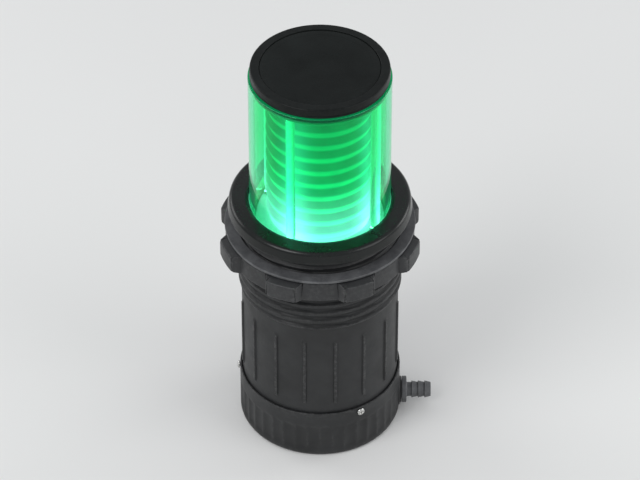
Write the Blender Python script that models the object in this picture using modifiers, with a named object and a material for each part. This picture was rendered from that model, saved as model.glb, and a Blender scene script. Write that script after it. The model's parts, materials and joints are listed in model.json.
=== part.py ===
"""Pop-up pool and spa light: a clear lit column that rises out of a deck fitting.

The origin is on the column's axis at the face of the deck, +Z up, with the column raised.
Everything above z = 0 stands on the deck; the sleeve, nut, latch and drain hang below it.
"""

import math

import bmesh
import bpy
from mathutils import Matrix, Vector

# ---------------------------------------------------------------- driving dimensions, metres
GAP = 0.0003  # clearance between pieces that touch
SIDES = 32  # facets round a large turned piece
SMALL_SIDES = 16  # facets round a screw or a rod
FITTING_SIDES = 18  # facets round the cable gland and the drain
TINY_SIDES = 12  # facets round a light guide, a pin or a small hole
CUT_PAST = 0.010  # how far a small cutter runs through a wall
THREAD_STEPS = 18  # facets in one turn of the thread

TRAVEL = 0.096  # how far the column rises
CAP_TOP = 0.105  # top of the raised column above the deck
CAP_RADIUS = 0.041
CAP_BAND = 0.006  # height of the cap's visible side

TUBE_RADIUS = 0.042
TUBE_WALL = 0.003
TUBE_BOTTOM = -0.0185
TUBE_EDGE = 0.0004
TUBE_CLEAR = TUBE_RADIUS + 0.0004  # bore of the rings that the tube slides through

TRIM_RADIUS = 0.055
TRIM_TOP = 0.009
TRIM_BORE = 0.0432
TRIM_BOTTOM = 0.0004
TRIM_ROUND = 0.0034
TRIM_EDGE = 0.0006

SLEEVE_BORE = 0.0445
SLEEVE_RADIUS = 0.0474
SLEEVE_BOTTOM = -0.136
FLANGE_RADIUS = 0.0532

THREAD_RADIUS = 0.0492
THREAD_PITCH = 0.006
THREAD_TURNS = 8
THREAD_BOTTOM = -0.0555
THREAD_ROOT_HALF = 0.0022
THREAD_CREST_HALF = 0.0008
THREAD_SUNK = 0.0008

DECK = 0.010  # thickness of the deck the light is drawn clamped to
NUT_BORE = 0.0496
NUT_RADIUS = 0.0565
NUT_LUG_RADIUS = 0.0615
NUT_LUGS = 8
NUT_HEIGHT = 0.0135
NUT_LUG_FOOT = 0.26  # half the lug's width at its foot and at its face, in radians
NUT_LUG_FACE = 0.14
NUT_EDGE = 0.0008
WASHER_RADIUS = 0.057
WASHER_HEIGHT = 0.0017

CUP_RADIUS = 0.0492
CUP_TOP = -0.124
CUP_FLOOR = -0.154
CUP_BOTTOM = -0.158
CUP_BORE = 0.0452
CUP_SOCKET = 0.0478  # bore of the part that goes over the sleeve
CUP_EDGE = 0.002
SEAT_INNER = 0.0335
SEAT_OUTER = 0.039

CARRIER_RADIUS = 0.0439
CARRIER_TOP = -0.0158
CARRIER_FLOOR_TOP = -0.021
CARRIER_FLOOR = -0.024
CARRIER_BOTTOM = -0.036
CARRIER_SKIRT = 0.041  # inside of the skirt that runs in the sleeve
SPRING_BOSS = 0.0332
SPRING_BOSS_BORE = 0.0320
SPRING_BOSS_DEPTH = 0.003
DRIVER_WELL = 0.0315
DRIVER_STEP = 0.0355

KEY_ANGLES = (30, 150, 270)  # keys on the sleeve's wall that stop the column turning
KEY_WIDTH = 0.005
KEY_INNER = 0.0429
KEY_TOP = -0.016
KEY_DEPTH = 0.0026
KEY_SLOT_DEPTH = 0.004
KEY_SIDE_GAP = 0.0005

BUFFER_RADIUS = 0.0428
BUFFER_HEIGHT = 0.0011

GUIDE_COUNT = 4
GUIDE_START = 62  # degrees round from +X to the first light guide
GUIDE_SPACING = 360 / GUIDE_COUNT
GUIDE_CIRCLE = 0.0357
GUIDE_RADIUS = 0.0027

CORE_RADIUS = 0.032
CORE_VALLEY = 0.0302
CORE_BORE = 0.022
CORE_RINGS = 10
CORE_END = 0.003  # plain length beyond the first and last ring
CORE_SIDES = 28

LED_BOARD_TOP = -0.0021
LED_BOARD_RADIUS = 0.0383
LED_BOARD_BORE = 0.024
BOARD_THICKNESS = 0.0016
LED_SIZE = 0.005
LED_HEIGHT = 0.0013
DRIVER_TOP = -0.0134
DRIVER_RADIUS = 0.0352
CHIP_SIZE = (0.008, 0.008, 0.0016)
PLUG_SIZE = (0.010, 0.006, 0.005)
CHOKE_RADIUS = 0.005
CHOKE_HEIGHT = 0.0045
CAN_RADIUS = 0.004
CAN_HEIGHT = 0.0075
COMPONENT_EDGE = 0.0006

BOLT_RADIUS = 0.0025
BOLT_HEAD = 0.0046  # to the corners of the hexagon
BOLT_HEAD_HEIGHT = 0.0035
BOLT_END = 0.001  # the shank stops this far short of the cap, and starts this far up inside the head
TIE_WASHER_RADIUS = 0.0065
TIE_WASHER_HEIGHT = 0.0011

SPRING_CIRCLE = 0.036
SPRING_WIRE = 0.0011
SPRING_TURNS = 6
SPRING_SEAT = -0.147
SPRING_END_RISE = 0.0026  # each end turn climbs just clear of the next one
SPRING_STEPS = 14

LEAD_CIRCLE = 0.0105
LEAD_WIRE = 0.0018
LEAD_TURNS = 6
LEAD_STEPS = 12
LEAD_HOLE = LEAD_WIRE + 0.0006
LEAD_FLOOR = -0.1506  # height of the lead where it lies on the cup's floor
LEAD_COIL_TOP = -0.034
INLET_Z = -0.148  # height of the cable gland and the drain

OUTLET_WASHER = 0.0008
OUTLET_SEAT = CUP_RADIUS + OUTLET_WASHER + 2 * GAP  # where the gland's and the drain's flanges start
SPIGOT_LENGTH = 0.0052
GLAND_BORE = 0.0026
GLAND_STEM = 0.0052
GLAND_LENGTH = 0.0115
GLAND_FLANGE = 0.0078
GLAND_FLANGE_HEIGHT = 0.0042
GLAND_SPIGOT = 0.0058
GLAND_EYE = 0.0036
GLAND_NUT = 0.0074
GLAND_NUT_LENGTH = 0.0128
GLAND_NUT_DEPTH = 0.0095
GLAND_BUSH_HEIGHT = 0.0016
DRAIN_BORE = 0.0032
DRAIN_NECK = 0.0044
DRAIN_SPIGOT = 0.0053
DRAIN_LENGTH = 0.018
DRAIN_FLANGE = 0.0082
DRAIN_FLANGE_HEIGHT = 0.003
DRAIN_BARBS = 3
DRAIN_BARB_STEP = 0.004

HOOK_PIVOT_Z = -0.149
HOOK_TIP_Z = -0.127
HOOK_IN = 0.0194
HOOK_OUT = 0.0210
HOOK_TIP_LENGTH = 0.0041
HOOK_EYE = 0.0029
HOOK_ARM = 0.0013  # half the arm's width
PIN_RADIUS = 0.0010
PIN_LENGTH = 0.0064
BRACKET_X = 0.0158
BRACKET_THICK = 0.003
BRACKET_WIDTH = 0.008
BRACKET_HEIGHT = 0.0085
BRACKET_FOOT = 0.011
BRACKET_PLATE = 0.001
CAM_FACE = 0.022
CAM_BACK = 0.0265
CAM_BOTTOM = -0.0555
CAM_CENTRE = 0.00265  # middle of the cam, off to one side of the hook's resting line
CAM_WIDTH = 0.016
CAM_FOOT_INNER = 0.0165
CAM_FOOT_HEIGHT = 0.003
CAM_SCREW = 0.0011
CAM_SCREW_LENGTH = 0.0028
CAM_SCREW_X = 0.0192
CAM_SCREW_OFF = 0.005
TRACK_HALF = 0.00425
TRACK_TOP = 0.027  # heights in the track are measured up from the cam's bottom edge
TRACK_CORNER = 0.0015
TRACK_DEPTH = 0.0026
ISLAND_HALF = 0.0013

SCREW_ANGLES = (60, 180, 300)
SCREW_Z = -0.127
SCREW_HEAD_HEIGHT = 0.0013
CUP_SCREW = 0.0013
CUP_SCREW_LENGTH = 0.0045

# ---------------------------------------------------------------- an empty scene
for leftover in list(bpy.data.objects):
    bpy.data.objects.remove(leftover, do_unlink=True)

parts = bpy.data.collections.new("pop_up_pool_light")
cutters = bpy.data.collections.new("cutters")
bpy.context.scene.collection.children.link(parts)
bpy.context.scene.collection.children.link(cutters)


# ---------------------------------------------------------------- finishes
def finish(name, colour, roughness, metallic=0.0, alpha=1.0):
    material = bpy.data.materials.new(name)
    material.use_nodes = True
    shader = material.node_tree.nodes["Principled BSDF"]
    shader.inputs["Base Color"].default_value = (*colour, 1.0)
    shader.inputs["Roughness"].default_value = roughness
    shader.inputs["Metallic"].default_value = metallic
    shader.inputs["Alpha"].default_value = alpha
    material.diffuse_color = (*colour, alpha)
    return material


BLACK_PLASTIC = ((0.012, 0.014, 0.014), 0.38)
SLEEVE_PLASTIC = ((0.022, 0.024, 0.025), 0.5)
GREY_PLASTIC = ((0.10, 0.10, 0.11), 0.5)
CLEAR_PLASTIC = ((0.45, 0.95, 0.72), 0.05, 0.0, 0.35)
LIT_PLASTIC = ((0.30, 1.0, 0.65), 0.2, 0.0, 0.6)
WHITE_PLASTIC = ((0.75, 0.80, 0.77), 0.45)
RUBBER = ((0.02, 0.02, 0.02), 0.8)
BOARD = ((0.85, 0.86, 0.84), 0.5)
GREEN_BOARD = ((0.02, 0.16, 0.06), 0.45)
CHIP = ((0.02, 0.02, 0.022), 0.4)
FERRITE = ((0.08, 0.08, 0.085), 0.6)
STEEL = ((0.62, 0.62, 0.60), 0.25, 1.0)
BRASS = ((0.70, 0.52, 0.22), 0.3, 1.0)
ALUMINIUM = ((0.75, 0.76, 0.78), 0.3, 1.0)


# ---------------------------------------------------------------- modelling helpers
def link(name, data, look, group=parts):
    item = bpy.data.objects.new(name, data)
    group.objects.link(item)
    if group is cutters:
        item.hide_render = True
        item.display_type = "WIRE"
    else:
        item.data.materials.append(finish(name + "_finish", *look))
    return item


def turned(name, profile, look=None, group=parts, sides=SIDES, ring=True):
    """A solid of revolution about Z. The profile runs down its outer side; a ring's profile closes on itself."""
    mesh = bpy.data.meshes.new(name)
    edges = [(i, i + 1) for i in range(len(profile) - 1)]
    if ring:
        edges.append((len(profile) - 1, 0))
    mesh.from_pydata([(radius, 0, height) for radius, height in profile], edges, [])
    item = link(name, mesh, look, group)
    spin = item.modifiers.new("turn", "SCREW")
    spin.steps = sides
    spin.render_steps = sides
    spin.use_merge_vertices = True
    spin.merge_threshold = 0.00001
    spin.use_smooth_shade = True
    return item


def ring_profile(inner, outer, bottom, top, edge=0.0):
    """Rectangular section of a plain ring, with its outer corners cut back by edge."""
    if edge == 0.0:
        return [(inner, top), (outer, top), (outer, bottom), (inner, bottom)]
    return [
        (inner, top),
        (outer - edge, top),
        (outer, top - edge),
        (outer, bottom + edge),
        (outer - edge, bottom),
        (inner, bottom),
    ]


def arc(centre_radius, centre_height, radius, start, end, steps):
    """Points on an arc in a turned profile, angles in degrees from +X."""
    points = []
    for step in range(steps + 1):
        angle = math.radians(start + (end - start) * step / steps)
        points.append((centre_radius + radius * math.cos(angle), centre_height + radius * math.sin(angle)))
    return points


def o_ring(name, circle, height, wire):
    section = arc(circle, height, wire, 90, -270, 6)[:-1]
    return turned(name, section, RUBBER)


def block(name, size, centre, look=None, group=parts, edge=0.0, turn=0.0):
    """A box, its scale already in the mesh, turned about Z by degrees about the object's own axis."""
    mesh = bpy.data.meshes.new(name)
    shape = bmesh.new()
    bmesh.ops.create_cube(shape, size=1.0)
    bmesh.ops.scale(shape, vec=Vector(size), verts=shape.verts)
    bmesh.ops.translate(shape, vec=Vector(centre), verts=shape.verts)
    shape.to_mesh(mesh)
    shape.free()
    item = link(name, mesh, look, group)
    item.rotation_euler[2] = math.radians(turn)
    if edge > 0.0:
        bevel = item.modifiers.new("edge", "BEVEL")
        bevel.width = edge
        bevel.segments = 1
    return item


def rod(name, radius, length, look=None, group=parts, sides=SMALL_SIDES, edge=0.0):
    """A cylinder along its own Z, starting at its origin."""
    if edge > 0.0:
        side = [(radius - edge, length), (radius, length - edge), (radius, edge), (radius - edge, 0)]
    else:
        side = [(radius, length), (radius, 0)]
    return turned(name, [(0, length), *side, (0, 0)], look, group, sides, ring=False)


def radial(item, angle, distance, height):
    """Lay an object that was made along Z outwards along the radius at this angle."""
    outwards = Matrix.Rotation(math.radians(angle), 4, "Z") @ Matrix.Rotation(math.radians(90), 4, "Y")
    place = Matrix.Rotation(math.radians(angle), 4, "Z") @ Vector((distance, 0, height))
    item.matrix_world = Matrix.Translation(place) @ outwards
    return item


def combine(item, other, operation):
    step = item.modifiers.new(operation.lower(), "BOOLEAN")
    step.object = other
    step.operation = operation
    step.solver = "EXACT"
    return item


def cut(item, other):
    return combine(item, other, "DIFFERENCE")


def join(item, other):
    return combine(item, other, "UNION")


def flat_shape(name, loops, thickness, look=None, group=parts):
    """A flat outline, with any inner loops as holes, extruded evenly about z = 0."""
    curve = bpy.data.curves.new(name + "_outline", "CURVE")
    curve.dimensions = "2D"
    curve.fill_mode = "BOTH"
    curve.extrude = thickness / 2
    for loop in loops:
        spline = curve.splines.new("POLY")
        spline.points.add(len(loop) - 1)
        for point, (across, along) in zip(spline.points, loop):
            point.co = (across, along, 0, 1)
        spline.use_cyclic_u = True
    return solid_from_curve(name, curve, look, group)


def solid_from_curve(name, curve, look, group=parts):
    """The curve's evaluated shape as a welded mesh object."""
    guide = bpy.data.objects.new(name + "_curve", curve)
    cutters.objects.link(guide)
    bpy.context.view_layer.update()
    evaluated = guide.evaluated_get(bpy.context.evaluated_depsgraph_get())
    mesh = bpy.data.meshes.new_from_object(evaluated)
    place = guide.matrix_world.copy()
    bpy.data.objects.remove(guide, do_unlink=True)
    shape = bmesh.new()
    shape.from_mesh(mesh)
    bmesh.ops.remove_doubles(shape, verts=shape.verts, dist=0.000001)
    bmesh.ops.recalc_face_normals(shape, faces=shape.faces)
    shape.to_mesh(mesh)
    shape.free()
    mesh.materials.clear()
    item = link(name, mesh, look, group)
    item.matrix_world = place
    return item


def wire(name, points, radius, look):
    """A round wire or lead through the points, with closed ends."""
    curve = bpy.data.curves.new(name, "CURVE")
    curve.dimensions = "3D"
    curve.bevel_depth = radius
    curve.bevel_resolution = 2
    curve.use_fill_caps = True
    spline = curve.splines.new("POLY")
    spline.points.add(len(points) - 1)
    for point, place in zip(spline.points, points):
        point.co = (*place, 1)
    return link(name, curve, look)


def circle(radius, count, start=0.0):
    return [
        (
            radius * math.cos(start + 2 * math.pi * step / count),
            radius * math.sin(start + 2 * math.pi * step / count),
        )
        for step in range(count)
    ]


def around(angle, distance, height):
    turn = math.radians(angle)
    return Vector((distance * math.cos(turn), distance * math.sin(turn), height))


# ---------------------------------------------------------------- the column that rises
TUBE_INNER = TUBE_RADIUS - TUBE_WALL
SPIGOT_RADIUS = TUBE_INNER - GAP
TUBE_TOP = CAP_TOP - CAP_BAND - GAP
CAP_UNDER = CAP_TOP - CAP_BAND
CAP_RECESS = 0.0014
CAP_EDGE = 0.0009
CAP_BOSS = 0.008
CAP_BOSS_DEPTH = 0.0085
CAP_HOLLOW = 0.0004
LIP_DEPTH = 0.003
LIP_INNER = 0.0315
PAD_RADIUS = 0.0355
PAD_SINK = 0.0003  # the pad's middle sits this far below its edge, and its edge this far below the rim
INSERT_HOLE = 0.0043
INSERT_HOLE_DEPTH = 0.0015
COLLAR_BORE = 0.0335
COLLAR_BOTTOM = CAP_UNDER - 0.006
COLLAR_SEAL_Z = COLLAR_BOTTOM + 0.0022
COLLAR_GROOVE_DEPTH = 0.0017
SEAL_GROOVE_HALF = 0.001
CAP_SEAL_WIRE = 0.0007


def make_cap():
    """Black cap with a short lip that centres it in the collar."""
    lip_bottom = CAP_UNDER - LIP_DEPTH
    boss_bottom = CAP_UNDER - CAP_BOSS_DEPTH
    hole_top = CAP_UNDER + INSERT_HOLE_DEPTH
    profile = [
        (0, CAP_TOP - CAP_RECESS),
        (PAD_RADIUS, CAP_TOP - CAP_RECESS),
        (PAD_RADIUS, CAP_TOP),
        (CAP_RADIUS - CAP_EDGE, CAP_TOP),
        (CAP_RADIUS, CAP_TOP - CAP_EDGE),
        (CAP_RADIUS, CAP_UNDER),
        (COLLAR_BORE - GAP, CAP_UNDER),
        (COLLAR_BORE - GAP, lip_bottom),
        (LIP_INNER, lip_bottom),
        (LIP_INNER, CAP_UNDER + CAP_HOLLOW),
        (CAP_BOSS, CAP_UNDER + CAP_HOLLOW),
        (CAP_BOSS, boss_bottom),
        (INSERT_HOLE, boss_bottom),
        (INSERT_HOLE, hole_top),
        (0, hole_top),
    ]
    turned("top_cap", profile, BLACK_PLASTIC, ring=False)
    insert = ring_profile(BOLT_RADIUS + GAP, INSERT_HOLE - GAP, boss_bottom, hole_top - GAP)
    turned("cap_insert", insert, BRASS, sides=SMALL_SIDES)
    pad_top = CAP_TOP - PAD_SINK
    pad = [
        (0, pad_top),
        (PAD_RADIUS - GAP, pad_top - PAD_SINK),
        (PAD_RADIUS - GAP, CAP_TOP - CAP_RECESS + GAP),
        (0, CAP_TOP - CAP_RECESS + GAP),
    ]
    turned("press_pad", pad, GREY_PLASTIC, ring=False)


def make_collar():
    """White ring that plugs the tube's top under the cap and takes the light from the guides."""
    top = CAP_UNDER - GAP
    groove_floor = SPIGOT_RADIUS - COLLAR_GROOVE_DEPTH
    groove_top = COLLAR_SEAL_Z + SEAL_GROOVE_HALF
    groove_bottom = COLLAR_SEAL_Z - SEAL_GROOVE_HALF
    profile = [
        (COLLAR_BORE, top),
        (SPIGOT_RADIUS, top),
        (SPIGOT_RADIUS, groove_top),
        (groove_floor, groove_top),
        (groove_floor, groove_bottom),
        (SPIGOT_RADIUS, groove_bottom),
        (SPIGOT_RADIUS, COLLAR_BOTTOM),
        (COLLAR_BORE, COLLAR_BOTTOM),
    ]
    turned("cap_collar", profile, WHITE_PLASTIC)
    o_ring("cap_o_ring", SPIGOT_RADIUS - CAP_SEAL_WIRE, COLLAR_SEAL_Z, CAP_SEAL_WIRE)


def make_lens_tube():
    profile = ring_profile(TUBE_INNER, TUBE_RADIUS, TUBE_BOTTOM, TUBE_TOP, edge=TUBE_EDGE)
    turned("lens_tube", profile, CLEAR_PLASTIC)


def make_light_guides():
    bottom = LED_BOARD_TOP + GAP + LED_HEIGHT + GAP
    top = COLLAR_BOTTOM - GAP
    for number in range(GUIDE_COUNT):
        name = f"light_guide_{number + 1}"
        guide = rod(name, GUIDE_RADIUS, top - bottom, LIT_PLASTIC, sides=TINY_SIDES, edge=0.0005)
        guide.location = around(GUIDE_START + GUIDE_SPACING * number, GUIDE_CIRCLE, bottom)


def make_core():
    """Reflector sleeve whose outside is a stack of shallow rings."""
    bottom = LED_BOARD_TOP + GAP
    top = CAP_UNDER + CAP_HOLLOW - GAP
    pitch = (top - bottom - 2 * CORE_END) / CORE_RINGS
    profile = [(CORE_BORE, top), (CORE_VALLEY, top)]
    height = top - CORE_END
    for _ in range(CORE_RINGS):
        profile.append((CORE_VALLEY, height))
        profile.append((CORE_RADIUS, height - pitch / 2))
        height -= pitch
    profile.append((CORE_VALLEY, height))
    profile.append((CORE_VALLEY, bottom))
    profile.append((CORE_BORE, bottom))
    turned("reflector_core", profile, WHITE_PLASTIC, sides=CORE_SIDES)


def make_led_ring():
    board = ring_profile(LED_BOARD_BORE, LED_BOARD_RADIUS, LED_BOARD_TOP - BOARD_THICKNESS, LED_BOARD_TOP)
    turned("led_board", board, BOARD)
    middle = LED_BOARD_TOP + GAP + LED_HEIGHT / 2
    for number in range(GUIDE_COUNT):
        angle = GUIDE_START + GUIDE_SPACING * number
        size = (LED_SIZE, LED_SIZE, LED_HEIGHT)
        led = block(f"led_{number + 1}", size, (0, 0, 0), BOARD, edge=0.0002, turn=angle)
        led.location = around(angle, GUIDE_CIRCLE, middle)


def make_carrier():
    """Piston at the column's foot: it holds the tube and the boards and runs in the sleeve."""
    shelf_top = LED_BOARD_TOP - BOARD_THICKNESS - GAP
    step_top = DRIVER_TOP - BOARD_THICKNESS - GAP
    profile = [
        (CARRIER_RADIUS, CARRIER_TOP),
        (CARRIER_RADIUS, CARRIER_BOTTOM),
        (CARRIER_SKIRT, CARRIER_BOTTOM),
        (CARRIER_SKIRT, CARRIER_FLOOR),
        (SPRING_BOSS, CARRIER_FLOOR),
        (SPRING_BOSS, CARRIER_FLOOR - SPRING_BOSS_DEPTH),
        (SPRING_BOSS_BORE, CARRIER_FLOOR - SPRING_BOSS_DEPTH),
        (SPRING_BOSS_BORE, CARRIER_FLOOR),
        (BOLT_RADIUS + GAP, CARRIER_FLOOR),
        (BOLT_RADIUS + GAP, CARRIER_FLOOR_TOP),
        (DRIVER_WELL, CARRIER_FLOOR_TOP),
        (DRIVER_WELL, step_top),
        (DRIVER_STEP, step_top),
        (DRIVER_STEP, shelf_top),
        (SPIGOT_RADIUS, shelf_top),
        (SPIGOT_RADIUS, CARRIER_FLOOR_TOP),
        (TUBE_RADIUS + GAP, CARRIER_FLOOR_TOP),
        (TUBE_RADIUS + GAP, CARRIER_TOP),
    ]
    carrier = turned("carrier", profile, SLEEVE_PLASTIC)
    slot_size = (KEY_SLOT_DEPTH, KEY_WIDTH + 2 * KEY_SIDE_GAP, CARRIER_TOP - CARRIER_BOTTOM + CUT_PAST)
    slot_centre = (KEY_INNER - GAP + KEY_SLOT_DEPTH / 2, 0, (CARRIER_TOP + CARRIER_BOTTOM) / 2)
    for angle in KEY_ANGLES:
        cut(carrier, block(f"key_slot_{angle}", slot_size, slot_centre, group=cutters, turn=angle))
    lead_hole = rod("lead_hole", LEAD_HOLE, CUT_PAST, group=cutters, sides=TINY_SIDES)
    lead_hole.location = (0, LEAD_CIRCLE, CARRIER_FLOOR - SPRING_BOSS_DEPTH)
    cut(carrier, lead_hole)
    seal = ring_profile(TUBE_INNER + GAP, TUBE_RADIUS, CARRIER_FLOOR_TOP + GAP, TUBE_BOTTOM - GAP)
    turned("tube_seal", seal, RUBBER)
    buffer_bottom = CARRIER_TOP + GAP
    buffer = ring_profile(TUBE_CLEAR, BUFFER_RADIUS, buffer_bottom, buffer_bottom + BUFFER_HEIGHT)
    turned("stop_buffer", buffer, RUBBER)


def make_driver():
    """The small board that turns the supply into the light's colours."""
    underside = DRIVER_TOP - BOARD_THICKNESS
    board = turned("driver_board", ring_profile(0.004, DRIVER_RADIUS, underside, DRIVER_TOP), GREEN_BOARD)
    notch = rod("board_notch", LEAD_HOLE, CUT_PAST, group=cutters, sides=TINY_SIDES)
    notch.location = (0, LEAD_CIRCLE, underside - CUT_PAST / 3)
    cut(board, notch)
    face = DRIVER_TOP + GAP
    block("driver_chip", CHIP_SIZE, (-0.014, -0.008, face + CHIP_SIZE[2] / 2), CHIP, edge=0.0002)
    block("lead_connector", PLUG_SIZE, (0, 0.0185, face + PLUG_SIZE[2] / 2), WHITE_PLASTIC, edge=0.0004)
    choke = rod("driver_choke", CHOKE_RADIUS, CHOKE_HEIGHT, FERRITE, edge=COMPONENT_EDGE)
    choke.location = (0.016, -0.010, face)
    can = rod("driver_capacitor", CAN_RADIUS, CAN_HEIGHT, ALUMINIUM, edge=COMPONENT_EDGE)
    can.location = (-0.017, 0.010, face)


def make_tie_bolt():
    """One long bolt pulls the cap down on the tube and the tube down on the carrier."""
    washer_top = CARRIER_FLOOR - GAP
    washer_bottom = washer_top - TIE_WASHER_HEIGHT
    washer = ring_profile(BOLT_RADIUS + GAP, TIE_WASHER_RADIUS, washer_bottom, washer_top)
    turned("tie_washer", washer, STEEL, sides=SMALL_SIDES)
    head_top = washer_bottom - GAP
    head_bottom = head_top - BOLT_HEAD_HEIGHT
    length = CAP_UNDER - head_bottom - 2 * BOLT_END
    bolt = rod("tie_bolt", BOLT_RADIUS, length, STEEL, edge=0.0004)
    bolt.location = (0, 0, head_bottom + BOLT_END)
    head = rod("bolt_head", BOLT_HEAD, BOLT_HEAD_HEIGHT, group=cutters, sides=6)
    head.location = (0, 0, head_bottom)
    join(bolt, head)


def make_cam():
    """Heart cam under the carrier: the hook's pin runs round its island, one push to hold and one to free."""
    centre = CAM_CENTRE
    top = CARRIER_FLOOR - GAP
    plate = block(
        "heart_cam",
        (CAM_BACK - CAM_FACE, CAM_WIDTH, top - CAM_BOTTOM),
        ((CAM_FACE + CAM_BACK) / 2, centre, (top + CAM_BOTTOM) / 2),
        WHITE_PLASTIC,
    )
    foot = block(
        "cam_foot",
        (CAM_BACK - CAM_FOOT_INNER, CAM_WIDTH, CAM_FOOT_HEIGHT),
        ((CAM_BACK + CAM_FOOT_INNER) / 2, centre, top - CAM_FOOT_HEIGHT / 2),
        group=cutters,
    )
    join(plate, foot)
    left = centre - TRACK_HALF
    right = centre + TRACK_HALF
    shoulder = TRACK_TOP - TRACK_CORNER
    track = [
        (left, -0.001),
        (left, shoulder),
        (left + TRACK_CORNER, TRACK_TOP),
        (right - TRACK_CORNER, TRACK_TOP),
        (right, shoulder),
        (right, -0.001),
    ]
    island = [
        (centre, 0.0075),
        (centre + ISLAND_HALF, 0.011),
        (centre + ISLAND_HALF, 0.0195),
        (centre, 0.0172),
        (centre - ISLAND_HALF, 0.0205),
        (centre - ISLAND_HALF, 0.011),
    ]
    pocket = flat_shape("cam_track", [track, island], 2 * TRACK_DEPTH, group=cutters)
    upright = Matrix(((0, 0, 1, CAM_FACE), (1, 0, 0, 0), (0, 1, 0, CAM_BOTTOM), (0, 0, 0, 1)))
    pocket.matrix_world = upright
    cut(plate, pocket)
    for number, side in enumerate((-1, 1)):
        screw_y = centre + side * CAM_SCREW_OFF
        foot_bottom = top - CAM_FOOT_HEIGHT
        hole = rod(f"cam_screw_hole_{number + 1}", CAM_SCREW + GAP, CUT_PAST, group=cutters, sides=TINY_SIDES)
        hole.location = (CAM_SCREW_X, screw_y, foot_bottom - CAM_FOOT_HEIGHT)
        cut(plate, hole)
        seat = (CAM_SCREW_X, screw_y, foot_bottom - GAP)
        make_screw(f"cam_screw_{number + 1}", seat, CAM_SCREW, CAM_SCREW_LENGTH)


def make_screw(name, seat, shank, length):
    """Pan head below the seat, shank going up from it."""
    head = shank * 1.9
    screw = turned(
        name,
        [
            (0, length),
            (shank, length),
            (shank, 0),
            (head, 0),
            (head, -SCREW_HEAD_HEIGHT * 0.6),
            (shank * 1.3, -SCREW_HEAD_HEIGHT),
            (0, -SCREW_HEAD_HEIGHT),
        ],
        STEEL,
        sides=TINY_SIDES,
        ring=False,
    )
    screw.location = seat
    return screw


# ---------------------------------------------------------------- the deck fitting
SLEEVE_TOP = 0.0046
FLANGE_UNDER = 0.0023
BUSH_BOTTOM = -0.0141
LIP_RADIUS = 0.0483
LIP_TOP = 0.0059
WIPER_TOP = 0.0070
WIPER_BORE = TUBE_RADIUS + 0.0002
GASKET_BORE = 0.0503
CUP_SEAL_TOP = -0.1308
CUP_SEAL_BOTTOM = -0.1332
CUP_SEAL_DEPTH = 0.0014
CUP_SEAL_WIRE = 0.00065


def make_sleeve():
    groove_floor = SLEEVE_RADIUS - CUP_SEAL_DEPTH
    profile = [
        (SLEEVE_BORE, SLEEVE_TOP),
        (FLANGE_RADIUS, SLEEVE_TOP),
        (FLANGE_RADIUS, FLANGE_UNDER),
        (SLEEVE_RADIUS, FLANGE_UNDER),
        (SLEEVE_RADIUS, CUP_SEAL_TOP),
        (groove_floor, CUP_SEAL_TOP),
        (groove_floor, CUP_SEAL_BOTTOM),
        (SLEEVE_RADIUS, CUP_SEAL_BOTTOM),
        (SLEEVE_RADIUS, SLEEVE_BOTTOM),
        (SLEEVE_BORE, SLEEVE_BOTTOM),
    ]
    sleeve = turned("housing_sleeve", profile, SLEEVE_PLASTIC)
    join(sleeve, make_thread())
    key_bottom = SLEEVE_BOTTOM + 0.001
    key_size = (KEY_DEPTH, KEY_WIDTH, KEY_TOP - key_bottom)
    key_place = (KEY_INNER + KEY_DEPTH / 2, 0, (KEY_TOP + key_bottom) / 2)
    for angle in KEY_ANGLES:
        join(sleeve, block(f"key_{angle}", key_size, key_place, group=cutters, turn=angle))
    for angle in SCREW_ANGLES:
        hole = rod(f"sleeve_screw_hole_{angle}", CUP_SCREW + GAP, CUT_PAST, group=cutters, sides=TINY_SIDES)
        cut(sleeve, radial(hole, angle, SLEEVE_BORE - CUT_PAST / 3, SCREW_Z))
    seal_height = (CUP_SEAL_TOP + CUP_SEAL_BOTTOM) / 2
    o_ring("cup_o_ring", SLEEVE_RADIUS - 0.0004, seal_height, CUP_SEAL_WIRE)


def make_thread():
    """Helical ridge for the sleeve's outside, sunk a little into the wall."""
    mesh = bpy.data.meshes.new("thread_ridge")
    shape = bmesh.new()
    root = SLEEVE_RADIUS - THREAD_SUNK
    section = [
        (root, -THREAD_ROOT_HALF),
        (THREAD_RADIUS, -THREAD_CREST_HALF),
        (THREAD_RADIUS, THREAD_CREST_HALF),
        (root, THREAD_ROOT_HALF),
    ]
    corners = [shape.verts.new((radius, 0, THREAD_BOTTOM + height)) for radius, height in section]
    end = shape.faces.new(corners)
    rise = Vector((0, 0, THREAD_PITCH / THREAD_STEPS))
    bmesh.ops.spin(
        shape,
        geom=[end, *end.edges, *end.verts],
        cent=(0, 0, 0),
        axis=(0, 0, 1),
        dvec=rise,
        angle=2 * math.pi * THREAD_TURNS,
        steps=THREAD_STEPS * THREAD_TURNS,
        use_duplicate=False,
    )
    bmesh.ops.holes_fill(shape, edges=shape.edges, sides=4)
    bmesh.ops.recalc_face_normals(shape, faces=shape.faces)
    shape.to_mesh(mesh)
    shape.free()
    return link("thread_ridge", mesh, None, cutters)


def make_trim():
    profile = [(TRIM_BORE, TRIM_TOP - TRIM_EDGE), (TRIM_BORE + TRIM_EDGE, TRIM_TOP)]
    profile += arc(TRIM_RADIUS - TRIM_ROUND, TRIM_TOP - TRIM_ROUND, TRIM_ROUND, 90, 0, 5)
    profile += [
        (TRIM_RADIUS, TRIM_BOTTOM),
        (FLANGE_RADIUS + GAP, TRIM_BOTTOM),
        (FLANGE_RADIUS + GAP, SLEEVE_TOP + GAP),
        (LIP_RADIUS + GAP, SLEEVE_TOP + GAP),
        (LIP_RADIUS + GAP, WIPER_TOP + GAP),
        (TRIM_BORE, WIPER_TOP + GAP),
    ]
    turned("trim_ring", profile, BLACK_PLASTIC)


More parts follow.
